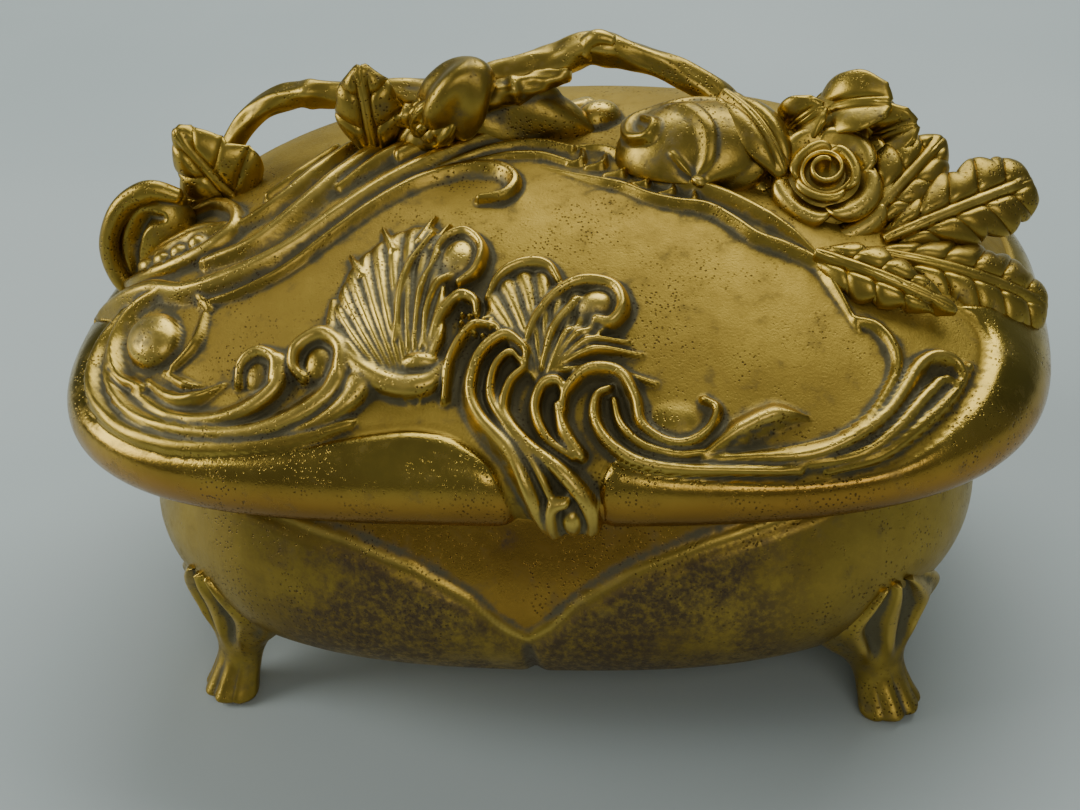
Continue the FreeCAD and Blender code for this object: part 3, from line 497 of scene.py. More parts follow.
def outline_azimuths(half_width, half_depth, front_step, back_step):
    """Azimuths spaced evenly along a rounded outline, closer at the front."""
    fine = np.linspace(-math.pi, math.pi, 7201)
    c, s = np.cos(fine), np.sin(fine)
    x = half_width * np.sign(s) * np.abs(s) ** 0.65
    y = -half_depth * np.sign(c) * np.abs(c) ** 0.65
    step = np.hypot(np.diff(x), np.diff(y))
    azimuth = np.arctan2(x, -y)
    at_front = np.abs(azimuth[1:]) < math.radians(112)
    dense = np.where(at_front, 1 / front_step, 1 / back_step) * step
    total = np.concatenate([[0], np.cumsum(dense)])
    count = int(total[-1])
    return np.interp(np.arange(count) / count * total[-1], total, np.unwrap(azimuth))


def cast_grid(tree, origins, ways):
    """Where rays from far outside first meet the surface, on their way to the origins."""
    shape = ways.shape
    out = np.empty((shape[0] * shape[1], 3))
    o = origins.reshape(-1, 3)
    d = ways.reshape(-1, 3)
    last = None
    for k in range(len(o)):
        hit = tree.ray_cast(Vector(o[k] + d[k] * 200), Vector(-d[k]))[0]
        last = hit if hit is not None else last
        out[k] = last
    return out.reshape(shape)


def grid_normals(points, wrap=True):
    """Outward unit normals of a grid of rows going up and columns going round to the right."""
    up = np.gradient(points, axis=0)
    if wrap:
        along = (np.roll(points, -1, 1) - np.roll(points, 1, 1)) / 2
    else:
        along = np.gradient(points, axis=1)
    n = np.cross(along, up)
    return n / np.maximum(np.linalg.norm(n, axis=2, keepdims=True), 1e-9)


def fair_radius(radius, times):
    """Evens out the facets of a cast grid, wrapping round its columns."""
    for _ in range(times):
        radius = (np.roll(radius, 1, 1) + 2 * radius + np.roll(radius, -1, 1)) / 4
        middle = (radius[:-2] + 2 * radius[1:-1] + radius[2:]) / 4
        radius = np.vstack([radius[:1], middle, radius[-1:]])
    return radius


LID_CENTRE = np.array([0.0, 4.0, 47.4])
GROUND = 0.35  # how far the plain ground stands off the CAD dome
LID_RIM = 47.16  # height of the lid's lower edge
BAND_ROLL, BAND_ROUND = 1.25, 3.0  # height of the band's rounded edge and the depth it takes
GROOVE_DEPTH, GROOVE_WIDTH = 0.35, 0.45  # the groove along the band


def lid_relief():
    """The outer skin of the lid: the CAD dome with its band, mouldings, shells and scrolls."""
    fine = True
    azimuth = outline_azimuths(80, 50, 0.3 if fine else 0.6, 1.1)
    rows = 300 if fine else 140
    rise = np.linspace(0, 1, rows) * math.radians(89.6)
    a, e = np.meshgrid(azimuth, rise)
    way = np.stack([np.sin(a) * np.cos(e), -np.cos(a) * np.cos(e), np.sin(e)], 2)
    centre = np.broadcast_to(LID_CENTRE, way.shape)
    hits = cast_grid(cad_tree("lid_shell"), centre, way)
    radius = fair_radius(np.linalg.norm(hits - LID_CENTRE, axis=2), 10 if fine else 5)
    points = LID_CENTRE + way * radius[..., None]
    normals = grid_normals(points)
    x, y, z = points[..., 0], points[..., 1], points[..., 2]

    facing = smooth(normals @ LOOK, 0.02, 0.25)
    w = canvas_height(points)
    height = CANVAS.sample(CANVAS.h, x, w) * facing
    near = CANVAS.sample(CANVAS.near, x, w) * facing
    wide = CANVAS.sample(CANVAS.wide, x, w) * facing

    seen = smooth(y, -6.0, -20.0)
    inside = CANVAS.sample(BAND_DEPTH, x, w) * seen + (SIDE_BAND_TOP - z) * (1 - seen)
    roll = BAND_ROLL * (1 - (1 - np.clip(inside / BAND_ROUND, 0, 1)) ** 2) ** 0.65
    height = np.maximum(height * smooth(inside, 1.4, -0.2), roll)
    dip = np.exp(-(((inside + 0.5) / GROOVE_WIDTH) ** 2)) * GROOVE_DEPTH
    on_band = smooth(inside, -0.1, 0.5)
    height = np.maximum(height - dip, -0.25)

    points = points + normals * (GROUND + height)[..., None]
    points[0, :, 2] = LID_RIM
    lip = points[0] * [0.985, 0.985, 1] + [0, 0.05, 0]
    grid = np.vstack([lip[None], points])
    made = new_mesh("lid_relief", grid.reshape(-1, 3), grid_faces(*grid.shape[:2], True),
                    "lid", "gilt_metal")
    off_band = 1 - on_band
    paint_rows(made, 0, hollow=np.clip(near * 1.2 + wide * 0.10, -1, 1) * off_band,
               raised=smooth(height, 0.8, 2.6) * off_band,
               ground=smooth(height, 0.35, 0.12) * off_band, polish=on_band)
    return made


# ------------------------------------------------------------------ materials


def node_material(name):
    """An empty node material and its tree."""
    made = bpy.data.materials.new(name)
    made.use_nodes = True
    tree = made.node_tree
    tree.nodes.clear()
    return made, tree


class Nodes:
    """Short calls for building a node tree."""

    def __init__(self, tree):
        self.tree = tree
        self.place = tree.nodes.new("ShaderNodeTexCoord").outputs["Object"]

    def add(self, kind, inputs=(), **settings):
        made = self.tree.nodes.new(kind)
        for key, value in settings.items():
            setattr(made, key, value)
        for key, value in dict(inputs).items():
            self.join(value, made.inputs[key])
        return made

    def join(self, value, socket):
        if isinstance(value, bpy.types.NodeSocket):
            self.tree.links.new(value, socket)
        else:
            socket.default_value = value

    def noise(self, scale, detail=4.0, rough=0.5, stretch=None):
        place = self.place
        if stretch:
            place = self.add("ShaderNodeMapping", {"Vector": place, "Scale": stretch}).outputs[0]
        inputs = {"Vector": place, "Scale": scale, "Detail": detail, "Roughness": rough}
        return self.add("ShaderNodeTexNoise", inputs).outputs["Fac"]

    def cells(self, scale, feature="F1"):
        inputs = {"Vector": self.place, "Scale": scale}
        return self.add("ShaderNodeTexVoronoi", inputs, feature=feature).outputs["Distance"]

    def painted(self, name):
        return self.add("ShaderNodeAttribute", attribute_name=name).outputs["Fac"]

    def span(self, value, low, high, out_low=0.0, out_high=1.0):
        inputs = {"Value": value, "From Min": low, "From Max": high, "To Min": out_low,
                  "To Max": out_high}
        return self.add("ShaderNodeMapRange", inputs, interpolation_type="SMOOTHSTEP").outputs[0]

    def maths(self, operation, a, b=0.5):
        return self.add("ShaderNodeMath", {0: a, 1: b}, operation=operation).outputs[0]

    def blend(self, share, a, b):
        made = self.add("ShaderNodeMix", data_type="RGBA")
        for key, value in ((0, share), (6, a), (7, b)):
            self.join(value, made.inputs[key])
        return made.outputs[2]

    def bump(self, height, strength, distance, normal=None):
        inputs = {"Height": height, "Strength": strength, "Distance": distance}
        if normal is not None:
            inputs["Normal"] = normal
        return self.add("ShaderNodeBump", inputs).outputs[0]

    def finish(self, **inputs):
        shader = self.add("ShaderNodeBsdfPrincipled", {k.replace("_", " "): v
                                                       for k, v in inputs.items()})
        out = self.add("ShaderNodeOutputMaterial")
        self.tree.links.new(shader.outputs[0], out.inputs[0])


# Colours of the gilding.
GOLD = (0.46, 0.315, 0.058, 1)
OCHRE = (0.33, 0.22, 0.042, 1)
BRIGHT = (0.72, 0.50, 0.11, 1)
# painted reflection: the orange-brown that polished gilding takes low down, standing in for the
# dark surroundings it reflects
PAINTED_REFLECTION_ORANGE = (0.40, 0.185, 0.030, 1)
PATINA = (0.115, 0.105, 0.060, 1)
# dark brown for pits and stains, and for painted shade on the body's lobes and lower body
STAIN_AND_SHADE = (0.055, 0.030, 0.012, 1)


def gilt():
    """Worn gilding: bright on the raised work, grey-green in the hollows, pitted and stained, with
    painted shade and a painted orange reflection.
    """
    made, tree = node_material("worn_gilding")
    n = Nodes(tree)
    cloud = n.noise(38, 5, 0.62)
    mottle = n.noise(260, 6, 0.65)
    grain = n.noise(2600, 3, 0.6)
    hollow, raised = n.painted("hollow"), n.painted("raised")
    ground, polish, stain = n.painted("ground"), n.painted("polish"), n.painted("stain")
    low = n.add("ShaderNodeSeparateXYZ", {0: n.place}).outputs[2]
    dirt = n.maths("ADD", hollow, n.span(mottle, 0.35, 0.75, -0.14, 0.16))
    dirt = n.span(dirt, 0.0, 0.40)
    worn = n.maths("ADD", raised, n.span(cloud, 0.3, 0.7, -0.3, 0.25))
    colour = n.blend(n.span(cloud, 0.33, 0.66), GOLD, OCHRE)
    # painted reflection: polished parts (the lower band and the body's panel) turn orange lower
    # down, as if reflecting dark surroundings
    painted_low_reflection = n.maths("MULTIPLY", polish, n.span(low, 0.0570, 0.0500))
    colour = n.blend(n.maths("MULTIPLY", painted_low_reflection, 0.7), colour, PAINTED_REFLECTION_ORANGE)
    colour = n.blend(n.span(worn, 0.35, 0.95, 0.0, 0.8), colour, BRIGHT)
    colour = n.blend(n.maths("MULTIPLY", dirt, 0.9), colour, PATINA)
    speck = n.span(n.cells(1500), 0.34, 0.16)
    sparse = n.span(n.noise(95, 5, 0.7), 0.44, 0.62)
    specks = n.maths("MULTIPLY", speck, sparse)
    colour = n.blend(n.maths("MULTIPLY", specks, 0.8), colour, STAIN_AND_SHADE)
    # stain patches, partly painted shade: on the body they darken the lobes and the lower part as
    # if the dark floor were reflected there
    stain_and_shade_cover = n.maths("MULTIPLY", stain, n.span(n.noise(52, 7, 0.74), 0.32, 0.52))
    stain_and_shade_cover = n.maths("MULTIPLY", stain_and_shade_cover, n.span(n.noise(900, 4, 0.7), 0.30, 0.60, 0.35, 1.0))
    colour = n.blend(n.maths("MULTIPLY", stain_and_shade_cover, 0.93), colour, STAIN_AND_SHADE)
    rough = n.maths("ADD", n.span(ground, 0, 1, 0.29, 0.54), n.span(mottle, 0.3, 0.8, 0.0, 0.15))
    rough = n.maths("ADD", rough, n.maths("MULTIPLY", n.maths("ADD", dirt, stain_and_shade_cover), 0.22))
    rough = n.maths("SUBTRACT", rough, n.maths("MULTIPLY", polish, 0.12))
    stipple = n.maths("MULTIPLY", grain, n.span(ground, 0, 1, 0.25, 1.0))
    normal = n.bump(stipple, 0.35, 0.00022)
    normal = n.bump(n.maths("SUBTRACT", 1.0, specks), 0.5, 0.0002, normal)
    normal = n.bump(mottle, 0.18, 0.0005, normal)
    bare = n.maths("ADD", n.maths("MULTIPLY", dirt, 0.5), n.maths("MULTIPLY", stain_and_shade_cover, 0.7))
    n.finish(Base_Color=colour, Metallic=n.span(bare, 0.0, 1.0, 1.0, 0.1), Roughness=rough,
             Normal=normal)
    return made


def plain_metal(name, light, dark, rough, stretch):
    """Drawn or rolled metal with fine lines, tarnished in patches."""
    made, tree = node_material(name)
    n = Nodes(tree)
    lines = n.noise(900, 4, 0.6, stretch)
    patch = n.noise(160, 5, 0.6)
    colour = n.blend(n.span(patch, 0.35, 0.68), light, dark)
    finish = n.maths("ADD", n.span(lines, 0.3, 0.7, rough - 0.06, rough + 0.08),
                     n.span(patch, 0.4, 0.7, 0.0, 0.18))
    n.finish(Base_Color=colour, Metallic=1.0, Roughness=finish,
             Normal=n.bump(lines, 0.25, 0.00006))
    return made


def satin():
    """Old-gold satin: fine warp threads, a soft sheen, faded and dusty in patches."""
    made, tree = node_material("old_gold_satin")
    n = Nodes(tree)
    warp = n.add("ShaderNodeTexWave", {"Vector": n.place, "Scale": 1500.0, "Distortion": 1.2,
                                       "Detail": 2.0}, bands_direction="X").outputs["Fac"]
    weft = n.add("ShaderNodeTexWave", {"Vector": n.place, "Scale": 1100.0, "Distortion": 1.2,
                                       "Detail": 2.0}, bands_direction="Y").outputs["Fac"]
    weave = n.maths("MULTIPLY", n.maths("ADD", warp, weft), 0.5)
    fade = n.noise(24, 4, 0.6)
    dust = n.noise(420, 5, 0.7)
    colour = n.blend(n.span(fade, 0.35, 0.68), (0.66, 0.50, 0.30, 1), (0.50, 0.36, 0.20, 1))
    colour = n.blend(n.span(dust, 0.52, 0.75, 0.0, 0.45), colour, (0.42, 0.36, 0.29, 1))
    colour = n.blend(n.span(weave, 0.2, 0.8, 0.22, 0.0), colour, (0.30, 0.20, 0.10, 1))
    n.finish(Base_Color=colour, Roughness=n.span(weave, 0.2, 0.8, 0.5, 0.36), Sheen_Weight=0.35,
             Normal=n.bump(weave, 0.35, 0.00012, n.bump(fade, 0.3, 0.0006)))
    return made


def silk_cord():
    """Twisted silk: fine slanting threads over the strands."""
    made, tree = node_material("silk_cord")
    n = Nodes(tree)
    threads = n.noise(2600, 3, 0.6, (1.0, 1.0, 0.35))
    wear_patch = n.noise(60, 4, 0.6)
    colour = n.blend(n.span(wear_patch, 0.35, 0.68), (0.52, 0.36, 0.14, 1), (0.38, 0.25, 0.11, 1))
    colour = n.blend(n.span(threads, 0.45, 0.75, 0.0, 0.5), colour, (0.24, 0.15, 0.06, 1))
    n.finish(Base_Color=colour, Roughness=n.span(threads, 0.3, 0.7, 0.42, 0.6), Sheen_Weight=0.3,
             Normal=n.bump(threads, 0.4, 0.0001))
    return made


def card():
    """Grey-brown card with fibres and foxing."""
    made, tree = node_material("grey_brown_card")
    n = Nodes(tree)
    fibre = n.noise(1500, 5, 0.7, (1.0, 0.3, 1.0))
    spots = n.noise(220, 4, 0.6)
    colour = n.blend(n.span(fibre, 0.35, 0.7), (0.46, 0.38, 0.28, 1), (0.36, 0.29, 0.21, 1))
    colour = n.blend(n.span(spots, 0.60, 0.74, 0.0, 0.6), colour, (0.24, 0.16, 0.09, 1))
    n.finish(Base_Color=colour, Roughness=n.span(fibre, 0.3, 0.7, 0.85, 0.97),
             Normal=n.bump(fibre, 0.4, 0.0001))
    return made


def dress(made, material):
    """Puts one material on an object."""
    made.data.materials.clear()
    made.data.materials.append(material)


GILT = gilt()
BRASS = plain_metal("dull_sheet_brass", (0.52, 0.37, 0.13, 1), (0.33, 0.22, 0.08, 1), 0.34,
                    (1.0, 0.06, 1.0))
RIVET = plain_metal("worn_rivet_brass", (0.62, 0.46, 0.19, 1), (0.40, 0.28, 0.10, 1), 0.26,
                    (0.3, 1.0, 0.3))
STEEL = plain_metal("drawn_steel", (0.44, 0.42, 0.39, 1), (0.22, 0.17, 0.13, 1), 0.32,
                    (0.06, 1.0, 1.0))
SATIN = satin()
CORD = silk_cord()
CARD = card()


# ------------------------------------------------------------------ castings built as grids


def unit(v):
    """A vector of length one."""
    v = np.asarray(v, float)
    return v / np.linalg.norm(v)


def axes_of(along, facing):
    """Rows of unit axes: along, across and as near as can be to facing."""
    x = unit(along)
    z = unit(np.asarray(facing, float) - x * np.dot(x, facing))
    return np.stack([x, np.cross(z, x), z])


def sheet_solid(points, thick):
    """Points and faces of a closed thin casting: its face, its back and the rim between."""
    rows, columns = points.shape[:2]
    n = grid_normals(points, False)
    half = (np.asarray(thick) / 2 * np.ones((rows, columns)))[..., None]
    count = rows * columns
    face = grid_faces(rows, columns, False)
    index = np.arange(count).reshape(rows, columns)
    loop = np.concatenate([index[0], index[1:, -1], index[-1, -2::-1], index[-2:0:-1, 0]])
    following = np.roll(loop, -1)
    rim = np.stack([following, loop, loop + count, following + count], 1)
    both = np.concatenate([(points + n * half).reshape(-1, 3), (points - n * half).reshape(-1, 3)])
    return both, np.concatenate([face, face[:, ::-1] + count, rim])


def joined(parts):
    """One set of points and faces from several."""
    points, faces, start = [], [], 0
    for p, f in parts:
        points.append(p)
        faces.append(f + start)
        start += len(p)
    return np.concatenate(points), np.concatenate(faces)


def rounded_edge(rows, columns, thick, ends=0.06):
    """Thickness over a grid, thinner at its rim so that the rim looks rounded."""
    s = np.linspace(0, 1, rows)[:, None]
    t = np.abs(np.linspace(-1, 1, columns))[None, :]
    edge = np.sqrt(np.clip(1 - t**8, 0.06, 1)) * np.sqrt(np.clip(1 - (1 - np.minimum(
        (1 - s) / ends, 1)) ** 2, 0.08, 1))
    return thick * edge


def leaf(root, tip, facing, width, plan, veins, cup, arch, notches, thick=1.1, skew=0.35):
    """A cast leaf.  plan: shares of the half width, evenly spaced from root to tip.  veins: how
    many side veins on each side.  notches: how many bites in each edge and how deep."""
    rows, columns = 110, 73
    root, tip = np.array(root, float), np.array(tip, float)
    length = np.linalg.norm(tip - root)
    axes = axes_of(tip - root, facing)
    s = np.linspace(0, 1, rows)[:, None]
    t = np.linspace(-1, 1, columns)[None, :]
    outline = curve_through([(k, v) for k, v in enumerate(plan)], 0.05)
    half = width / 2 * np.interp(s * (len(plan) - 1), outline[:, 0], outline[:, 1])
    bites = np.abs(np.sin(np.pi * (notches[0] * s - 0.2))) ** 0.6
    ragged = 1 - notches[1] * np.abs(t) ** 3 * (1 - bites)
    b = t * half * ragged
    a = s * length + skew * np.abs(b) * (1 - s) + 0 * t
    rib = np.abs(np.sin(np.pi * (veins * (s - skew * np.abs(t) * width / length * 0.6))))
    furrow = -0.75 * (1 - rib) ** 2.5 * smooth(np.abs(t), 0.03, 0.3) * smooth(s, 0.02, 0.15)
    spine = 0.55 * np.exp(-((b / 0.45) ** 2)) - 0.6 * np.exp(-(((np.abs(b) - 1.0) / 0.5) ** 2))
    swell = 0.9 * np.sin(np.pi * np.abs(t) ** 0.8) * np.sin(np.pi * s) ** 0.5
    high = arch * np.sin(np.pi * s) - cup * t * t + spine * smooth(s, 1.0, 0.8) + furrow + swell
    local = np.stack([a, b + 0 * s, high + 0 * a], 2)
    return sheet_solid(root + local @ axes, rounded_edge(rows, columns, thick))


def circles(side, other, turn):
    """Unit vectors round each point of a line, from two axes across it."""
    return (np.cos(turn)[None, :, None] * side[:, None]
            + np.sin(turn)[None, :, None] * other[:, None])


def tube(points, radii, sides=36, step=0.4, wave=None):
    """A closed round tube along a curve; wave(s, turn) gives its radius's share at each point."""
    line = curve_through(points, step)
    s = np.concatenate([[0], np.cumsum(np.linalg.norm(np.diff(line, axis=0), axis=1))])
    s /= s[-1]
    radius = np.interp(s, np.linspace(0, 1, len(radii)), radii)
    radius = radius * np.sqrt(np.clip(1 - (1 - np.minimum(np.minimum(s, 1 - s) * 40, 1)) ** 2,
                                      0.003, 1))
    way = np.gradient(line, axis=0)
    way /= np.linalg.norm(way, axis=1, keepdims=True)
    side = np.cross(way, [0.0, -0.9, 0.45])
    side /= np.linalg.norm(side, axis=1, keepdims=True)
    other = np.cross(way, side)
    turn = 2 * np.pi * np.arange(sides) / sides
    shape = wave(s[:, None], turn[None, :]) if wave else np.ones((len(s), sides))
    reach = (radius[:, None] * shape)[..., None]
    grid = line[:, None] + circles(side, other, turn) * reach
    return grid.reshape(-1, 3), grid_faces(len(line), sides, True)


def closed_cord(line, radius, sides, strands, pitch):
    """A closed cord along a closed line: strands twisted together, each a thinner tube."""
    along = np.roll(line, -1, 0) - np.roll(line, 1, 0)
    along /= np.linalg.norm(along, axis=1, keepdims=True)
    out = np.cross(along, [0.0, 0.0, 1.0])
    up = np.cross(out, along)
    length = np.linalg.norm(np.roll(line, -1, 0) - line, axis=1).sum()
    twist = 2 * np.pi * np.arange(len(line)) / len(line) * round(length / pitch)
    ring = circles(out, up, 2 * np.pi * np.arange(sides) / sides)
    faces = ring_faces(len(line), sides)[:, ::-1]
    parts = []
    for k in range(strands):
        phase = (twist + 2 * np.pi * k / strands)[:, None]
        middle = line + 0.52 * radius * (np.cos(phase) * out + np.sin(phase) * up)
        parts.append(((middle[:, None] + radius * 0.56 * ring).reshape(-1, 3), faces))
    return joined(parts)


def egg(centre, radii, turn=None, carve=None, shape=None, rows=110, columns=170):
    """A closed egg; carve is a canvas pressed on the side that faces the front, shape a function of
    the unit direction that gives a share of the radius."""
    e, a = np.meshgrid(np.linspace(-math.pi / 2, math.pi / 2, rows),
                       2 * np.pi * np.arange(columns) / columns, indexing="ij")
    way = np.stack([np.sin(a) * np.cos(e), -np.cos(a) * np.cos(e), np.sin(e)], 2)
    local = way * np.array(radii)
    if shape is not None:
        local = local * shape(way)[..., None]
    if turn is not None:
        local = local @ np.array(turn)
    points = np.array(centre, float) + local
    if carve is not None:
        n = grid_normals(points)
        depth = carve.sample(carve.h, points[..., 0], canvas_height(points)) * smooth(
            n @ LOOK, 0.05, 0.4)
        points = points + n * depth[..., None]
    return points.reshape(-1, 3), grid_faces(rows, columns, True)


def wear(made, passes=(4, 14), strength=(1.6, 0.8)):
    """Paints the hollows and the raised parts of a mesh from its own shape."""
    mesh = made.data
    count = len(mesh.vertices)
    points = np.empty(count * 3, np.float32)
    mesh.vertices.foreach_get("co", points)
    points = points.reshape(-1, 3) / MM
    normals = np.empty(count * 3, np.float32)
    mesh.vertices.foreach_get("normal", normals)
    normals = normals.reshape(-1, 3)
    ends = np.empty(len(mesh.edges) * 2, np.int32)
    mesh.edges.foreach_get("vertices", ends)
    a, b = ends[0::2], ends[1::2]
    degree = np.maximum(np.bincount(ends, minlength=count), 1)[:, None]
    total = np.zeros(count)
    moved = points.astype(float)
    done = 0
    for limit, gain in zip(passes, strength):
        while done < limit:
            s = np.stack([np.bincount(a, moved[b, k], count) + np.bincount(b, moved[a, k], count)
                          for k in range(3)], 1)
            moved = s / degree
            done += 1
        total += gain * ((moved - points) * normals).sum(1)
    paint(made, "hollow", np.clip(total + 0.14, 0, 1))
    paint(made, "raised", np.clip(-total * 1.3, 0, 1))


def spray_canvas():
    """Drawing pressed on the rounded castings of the spray: folds, lips and curls."""
    c = Canvas((-84, 30), (84, 82), 0.15)
    c.ridge([(38.4, 66), (36.5, 70.5), (31, 72.6), (24, 72.8), (18, 71.6), (14.6, 68.4),
             (15.2, 65), (18.4, 64.4), (19.6, 66.8), (17.6, 68.4)], [1.6, 2, 2.2, 2.2, 2, 1.4],
            [0.8, 1.2, 1.3, 1.4, 1.5, 1.1], "left")
    c.ridge([(37.8, 66), (36.6, 61), (33.6, 57.4), (29.4, 55.6), (25.6, 58.2), (22.4, 61.6)],
            [1.4, 2.0, 2.0, 1.6, 1.0], [0.9, 1.1, 1.1, 0.9, 0.5], "left")
    c.ridge([(20.4, 70.6), (24.6, 69.2), (27.4, 65.4), (27.6, 60.8), (25.4, 57.6)],
            [0.8, 2.6, 3.0, 2.4, 0.8], [0.2, 0.7, 0.8, 0.6, 0.2], "left")
    for k in range(3):
        c.ridge([(-30 + 2 * k, 64 + 1.2 * k), (-20 + k, 69.5 + 1.5 * k), (-9, 72.5 + 1.6 * k),
                 (2, 75.5 + k)], [1.4, 2.2, 2.4, 1.6], [0.6, 1.3, 1.5, 0.8], "left")
    c.ridge([(-74.6, 45.4), (-76.4, 50.6), (-74, 56.4), (-68.4, 59.6), (-62.6, 58.4)],
            [2.0, 2.6, 2.8, 2.6, 2.2], [1.2, 1.6, 1.7, 1.6, 1.2], "round")
    c.ridge([(-72, 46.6), (-71.6, 51), (-69.2, 54.4), (-65.4, 54.6)], [2.4, 4.4, 4.4, 2.2],
            [1.0, 2.6, 2.6, 1.0], "cut")
    c.h = blur(c.h, 1.2)
    return c


SPRAY = spray_canvas()


def add_casting(name, points_faces, *nodes):
    """A gilt casting on the lid that stands for CAD nodes."""
    made = new_mesh(name, *points_faces, "lid", "gilt_metal")
    wear(made)
    dress(made, GILT)
    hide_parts(*nodes)
    return made


# The branch along the ridge, its knots and thickness.
BRANCH = [(-60.5, 12, 69.5), (-56.5, 13, 79), (-50.5, 14, 85.5), (-43, 14, 88.2), (-34, 13, 88.4),
          (-26, 12, 88.4), (-17, 12, 88.4), (-7, 13, 90.5), (2, 14, 92.5), (8.5, 14.5, 94.6),
          (16, 14, 92.8), (23, 13, 90), (29, 12, 86), (34, 9.5, 81)]
TWIG = [2.4, 2.0, 2.0, 2.3, 2.3, 2.6, 2.8, 3.0, 2.9, 2.9, 2.3, 2.2, 2.6, 2.4]


def bark(s, turn):
    """Long twisting folds and knots of the branch."""
    fold = np.sin(3 * turn + 26 * s) * 0.07 + np.sin(5 * turn - 41 * s + 1.3) * 0.045
    knot = 0.16 * np.exp(-(((s - 0.27) / 0.012) ** 2)) + 0.22 * np.exp(-(((s - 0.75) / 0.02) ** 2))
    return 1 + fold + knot + 0.03 * np.sin(90 * s + 2 * turn)


def spray_branch():
    """The branch and the folded crest between its loops."""
    run = tube(BRANCH, TWIG, wave=bark)
    stub = tube([(7, 14, 94), (9.5, 13.2, 96.6), (12.6, 12.8, 96.0)], [2.4, 1.7, 1.0])
    crest = egg((-11.5, 12.2, 81.6), (19.2, 5.6, 8.6), carve=SPRAY,
                shape=lambda d: 1 + 0.05 * np.sin(9 * d[..., 0] + 5 * d[..., 2]))
    side = tube([(-33, 10, 84.5), (-24, 8.4, 86), (-14, 8.2, 88), (-4, 9.4, 90), (5, 12, 91.6)],
                [1.2, 2.0, 2.3, 2.2, 1.4], wave=bark)
    add_casting("spray_branch", joined([run, stub, crest, side]), "branch")


def spray_bud():
    """A ribbed bud in its calyx, leaning to the upper right."""
    axes = axes_of((11, -2, 12), (-0.4, -1, 0.4))
    axes = axes[[1, 2, 0]]

    def ribs(d):
        turn = np.arctan2(d[..., 1], d[..., 0])
        fold = 0.15 * np.cos(4 * turn + 1.8 * d[..., 2]) * smooth(d[..., 2], 1.0, 0.2)
        neck = 1 - 0.42 * smooth(d[..., 2], -0.05, -0.95)
        return neck * (1 + fold)

    bulb = egg((-14.5, 6.5, 89), (5.6, 5.4, 9.6), axes, shape=ribs)
    cup = []
    for k in range(5):
        base = np.array([-20.4, 7.6, 82.6])
        turn = 2 * math.pi * k / 5
        out = math.cos(turn) * axes[0] + math.sin(turn) * axes[1]
        tip = base + axes[2] * 8.5 + out * 4.6
        cup.append(leaf(base + out * 0.8, tip, out, 5.2, [0.5, 0.9, 1.0, 0.6, 0.1], 2, 0.7, 1.6,
                        (1, 0.0), 0.9))
    node = egg((-21.0, 7.7, 82.0), (3.0, 2.8, 2.8), axes)
    add_casting("spray_bud", joined([bulb, node, *cup]), "bud")


def spray_petal():
    """The big smooth petal that curls over beside the rose."""
    def lobes(d):
        return 1 + 0.06 * np.cos(2.2 * np.arctan2(d[..., 2], d[..., 0]) - 0.6)

    big = egg((25.5, 3.2, 80), (12.6, 9.6, 9.4), carve=SPRAY, shape=lobes, rows=160, columns=260)
    lip = leaf((30, 8, 88.6), (40.0, -4.5, 80.0), (0.3, -0.4, 0.9), 9.0,
               [0.5, 0.95, 1.0, 0.8, 0.2], 1, 0.8, 2.2, (1, 0.0), 1.2)
    add_casting("rose_big_petal", joined([big, lip]), "rose_outer_petal")


ROSE_AT = np.array([46.0, -2.0, 76.5])
ROSE_AXES = axes_of((1, 0, 0), (0.1, -0.55, 0.83))
# Rings of petals: how many, degrees from one to the next, first, spread, radius, height, roll.
ROSE_RINGS = [(3, 120, 15, 68, 4.4, 8.6, 0.7), (4, 90, 50, 54, 6.9, 7.6, 1.3),
              (5, 72, 10, 44, 9.2, 5.4, 2.0), (3, 54, 160, 34, 11.6, 4.2, 2.2)]


def petal(turn, spread, radius, height, roll, rows=44, columns=57):
    """A rose petal: rises from the heart, leans out and rolls its lip.  Angles in degrees."""
    s = np.linspace(0, 1, rows)[:, None]
    t = np.linspace(-1, 1, columns)[None, :]
    climb = s * (1 - 0.28 * np.abs(t) ** 3)
    out = radius * (0.45 + 0.55 * climb**1.4) + roll * 1.7 * smooth(climb, 0.62, 1.0)
    out = out + 0.35 * np.cos(3.1 * t + turn) * climb
    high = height * climb**0.8 - roll * 1.9 * smooth(climb, 0.84, 1.02)
    angle = np.radians(turn + spread * t)
    local = np.stack([out * np.cos(angle), out * np.sin(angle), high - 2.5], 2)
    return sheet_solid(ROSE_AT + local @ ROSE_AXES, rounded_edge(rows, columns, 1.25, 0.09))


def spray_rose():
    """The rose: a coiled heart, four rings of rolled petals and the tall petals behind it."""
    t = np.linspace(0, 1, 150)
    turn = 2 * math.pi * 1.9 * t + 0.6
    out = 0.7 + 3.1 * t
    rise = np.linspace(0, 1, 16)[:, None]
    local = np.stack([(out + 0.5 * rise) * np.cos(turn), (out + 0.5 * rise) * np.sin(turn),
                      -2 + rise * (9.4 - 2.2 * t) + 0 * turn], 2)
    coil = sheet_solid(ROSE_AT + local @ ROSE_AXES, rounded_edge(16, 150, 1.1, 0.2))
    parts = [coil, egg(ROSE_AT, (9.6, 9.6, 4.8), ROSE_AXES)]
    for count, step, first, *shape in ROSE_RINGS:
        parts.extend(petal(step * k + first, *shape) for k in range(count))
    parts.append(egg((50.5, 9.4, 79.6), (8.8, 5.6, 8.8)))
    for start, end, facing, width in [
            ((44, 10, 82), (56.5, 5, 87.5), (-0.1, -0.6, 0.8), 11),
            ((52, 9, 78), (60.5, 3.5, 84.5), (0.3, -0.7, 0.6), 9.5),
            ((41, 9, 80), (46, 4.5, 87.5), (-0.3, -0.8, 0.5), 8.5)]:
        parts.append(leaf(start, end, facing, width, [0.6, 0.95, 1.0, 0.95, 0.55], 1, -1.4, 2.2,
                          (1, 0.0), 1.4))
    add_casting("rose_head", joined(parts), "rose")


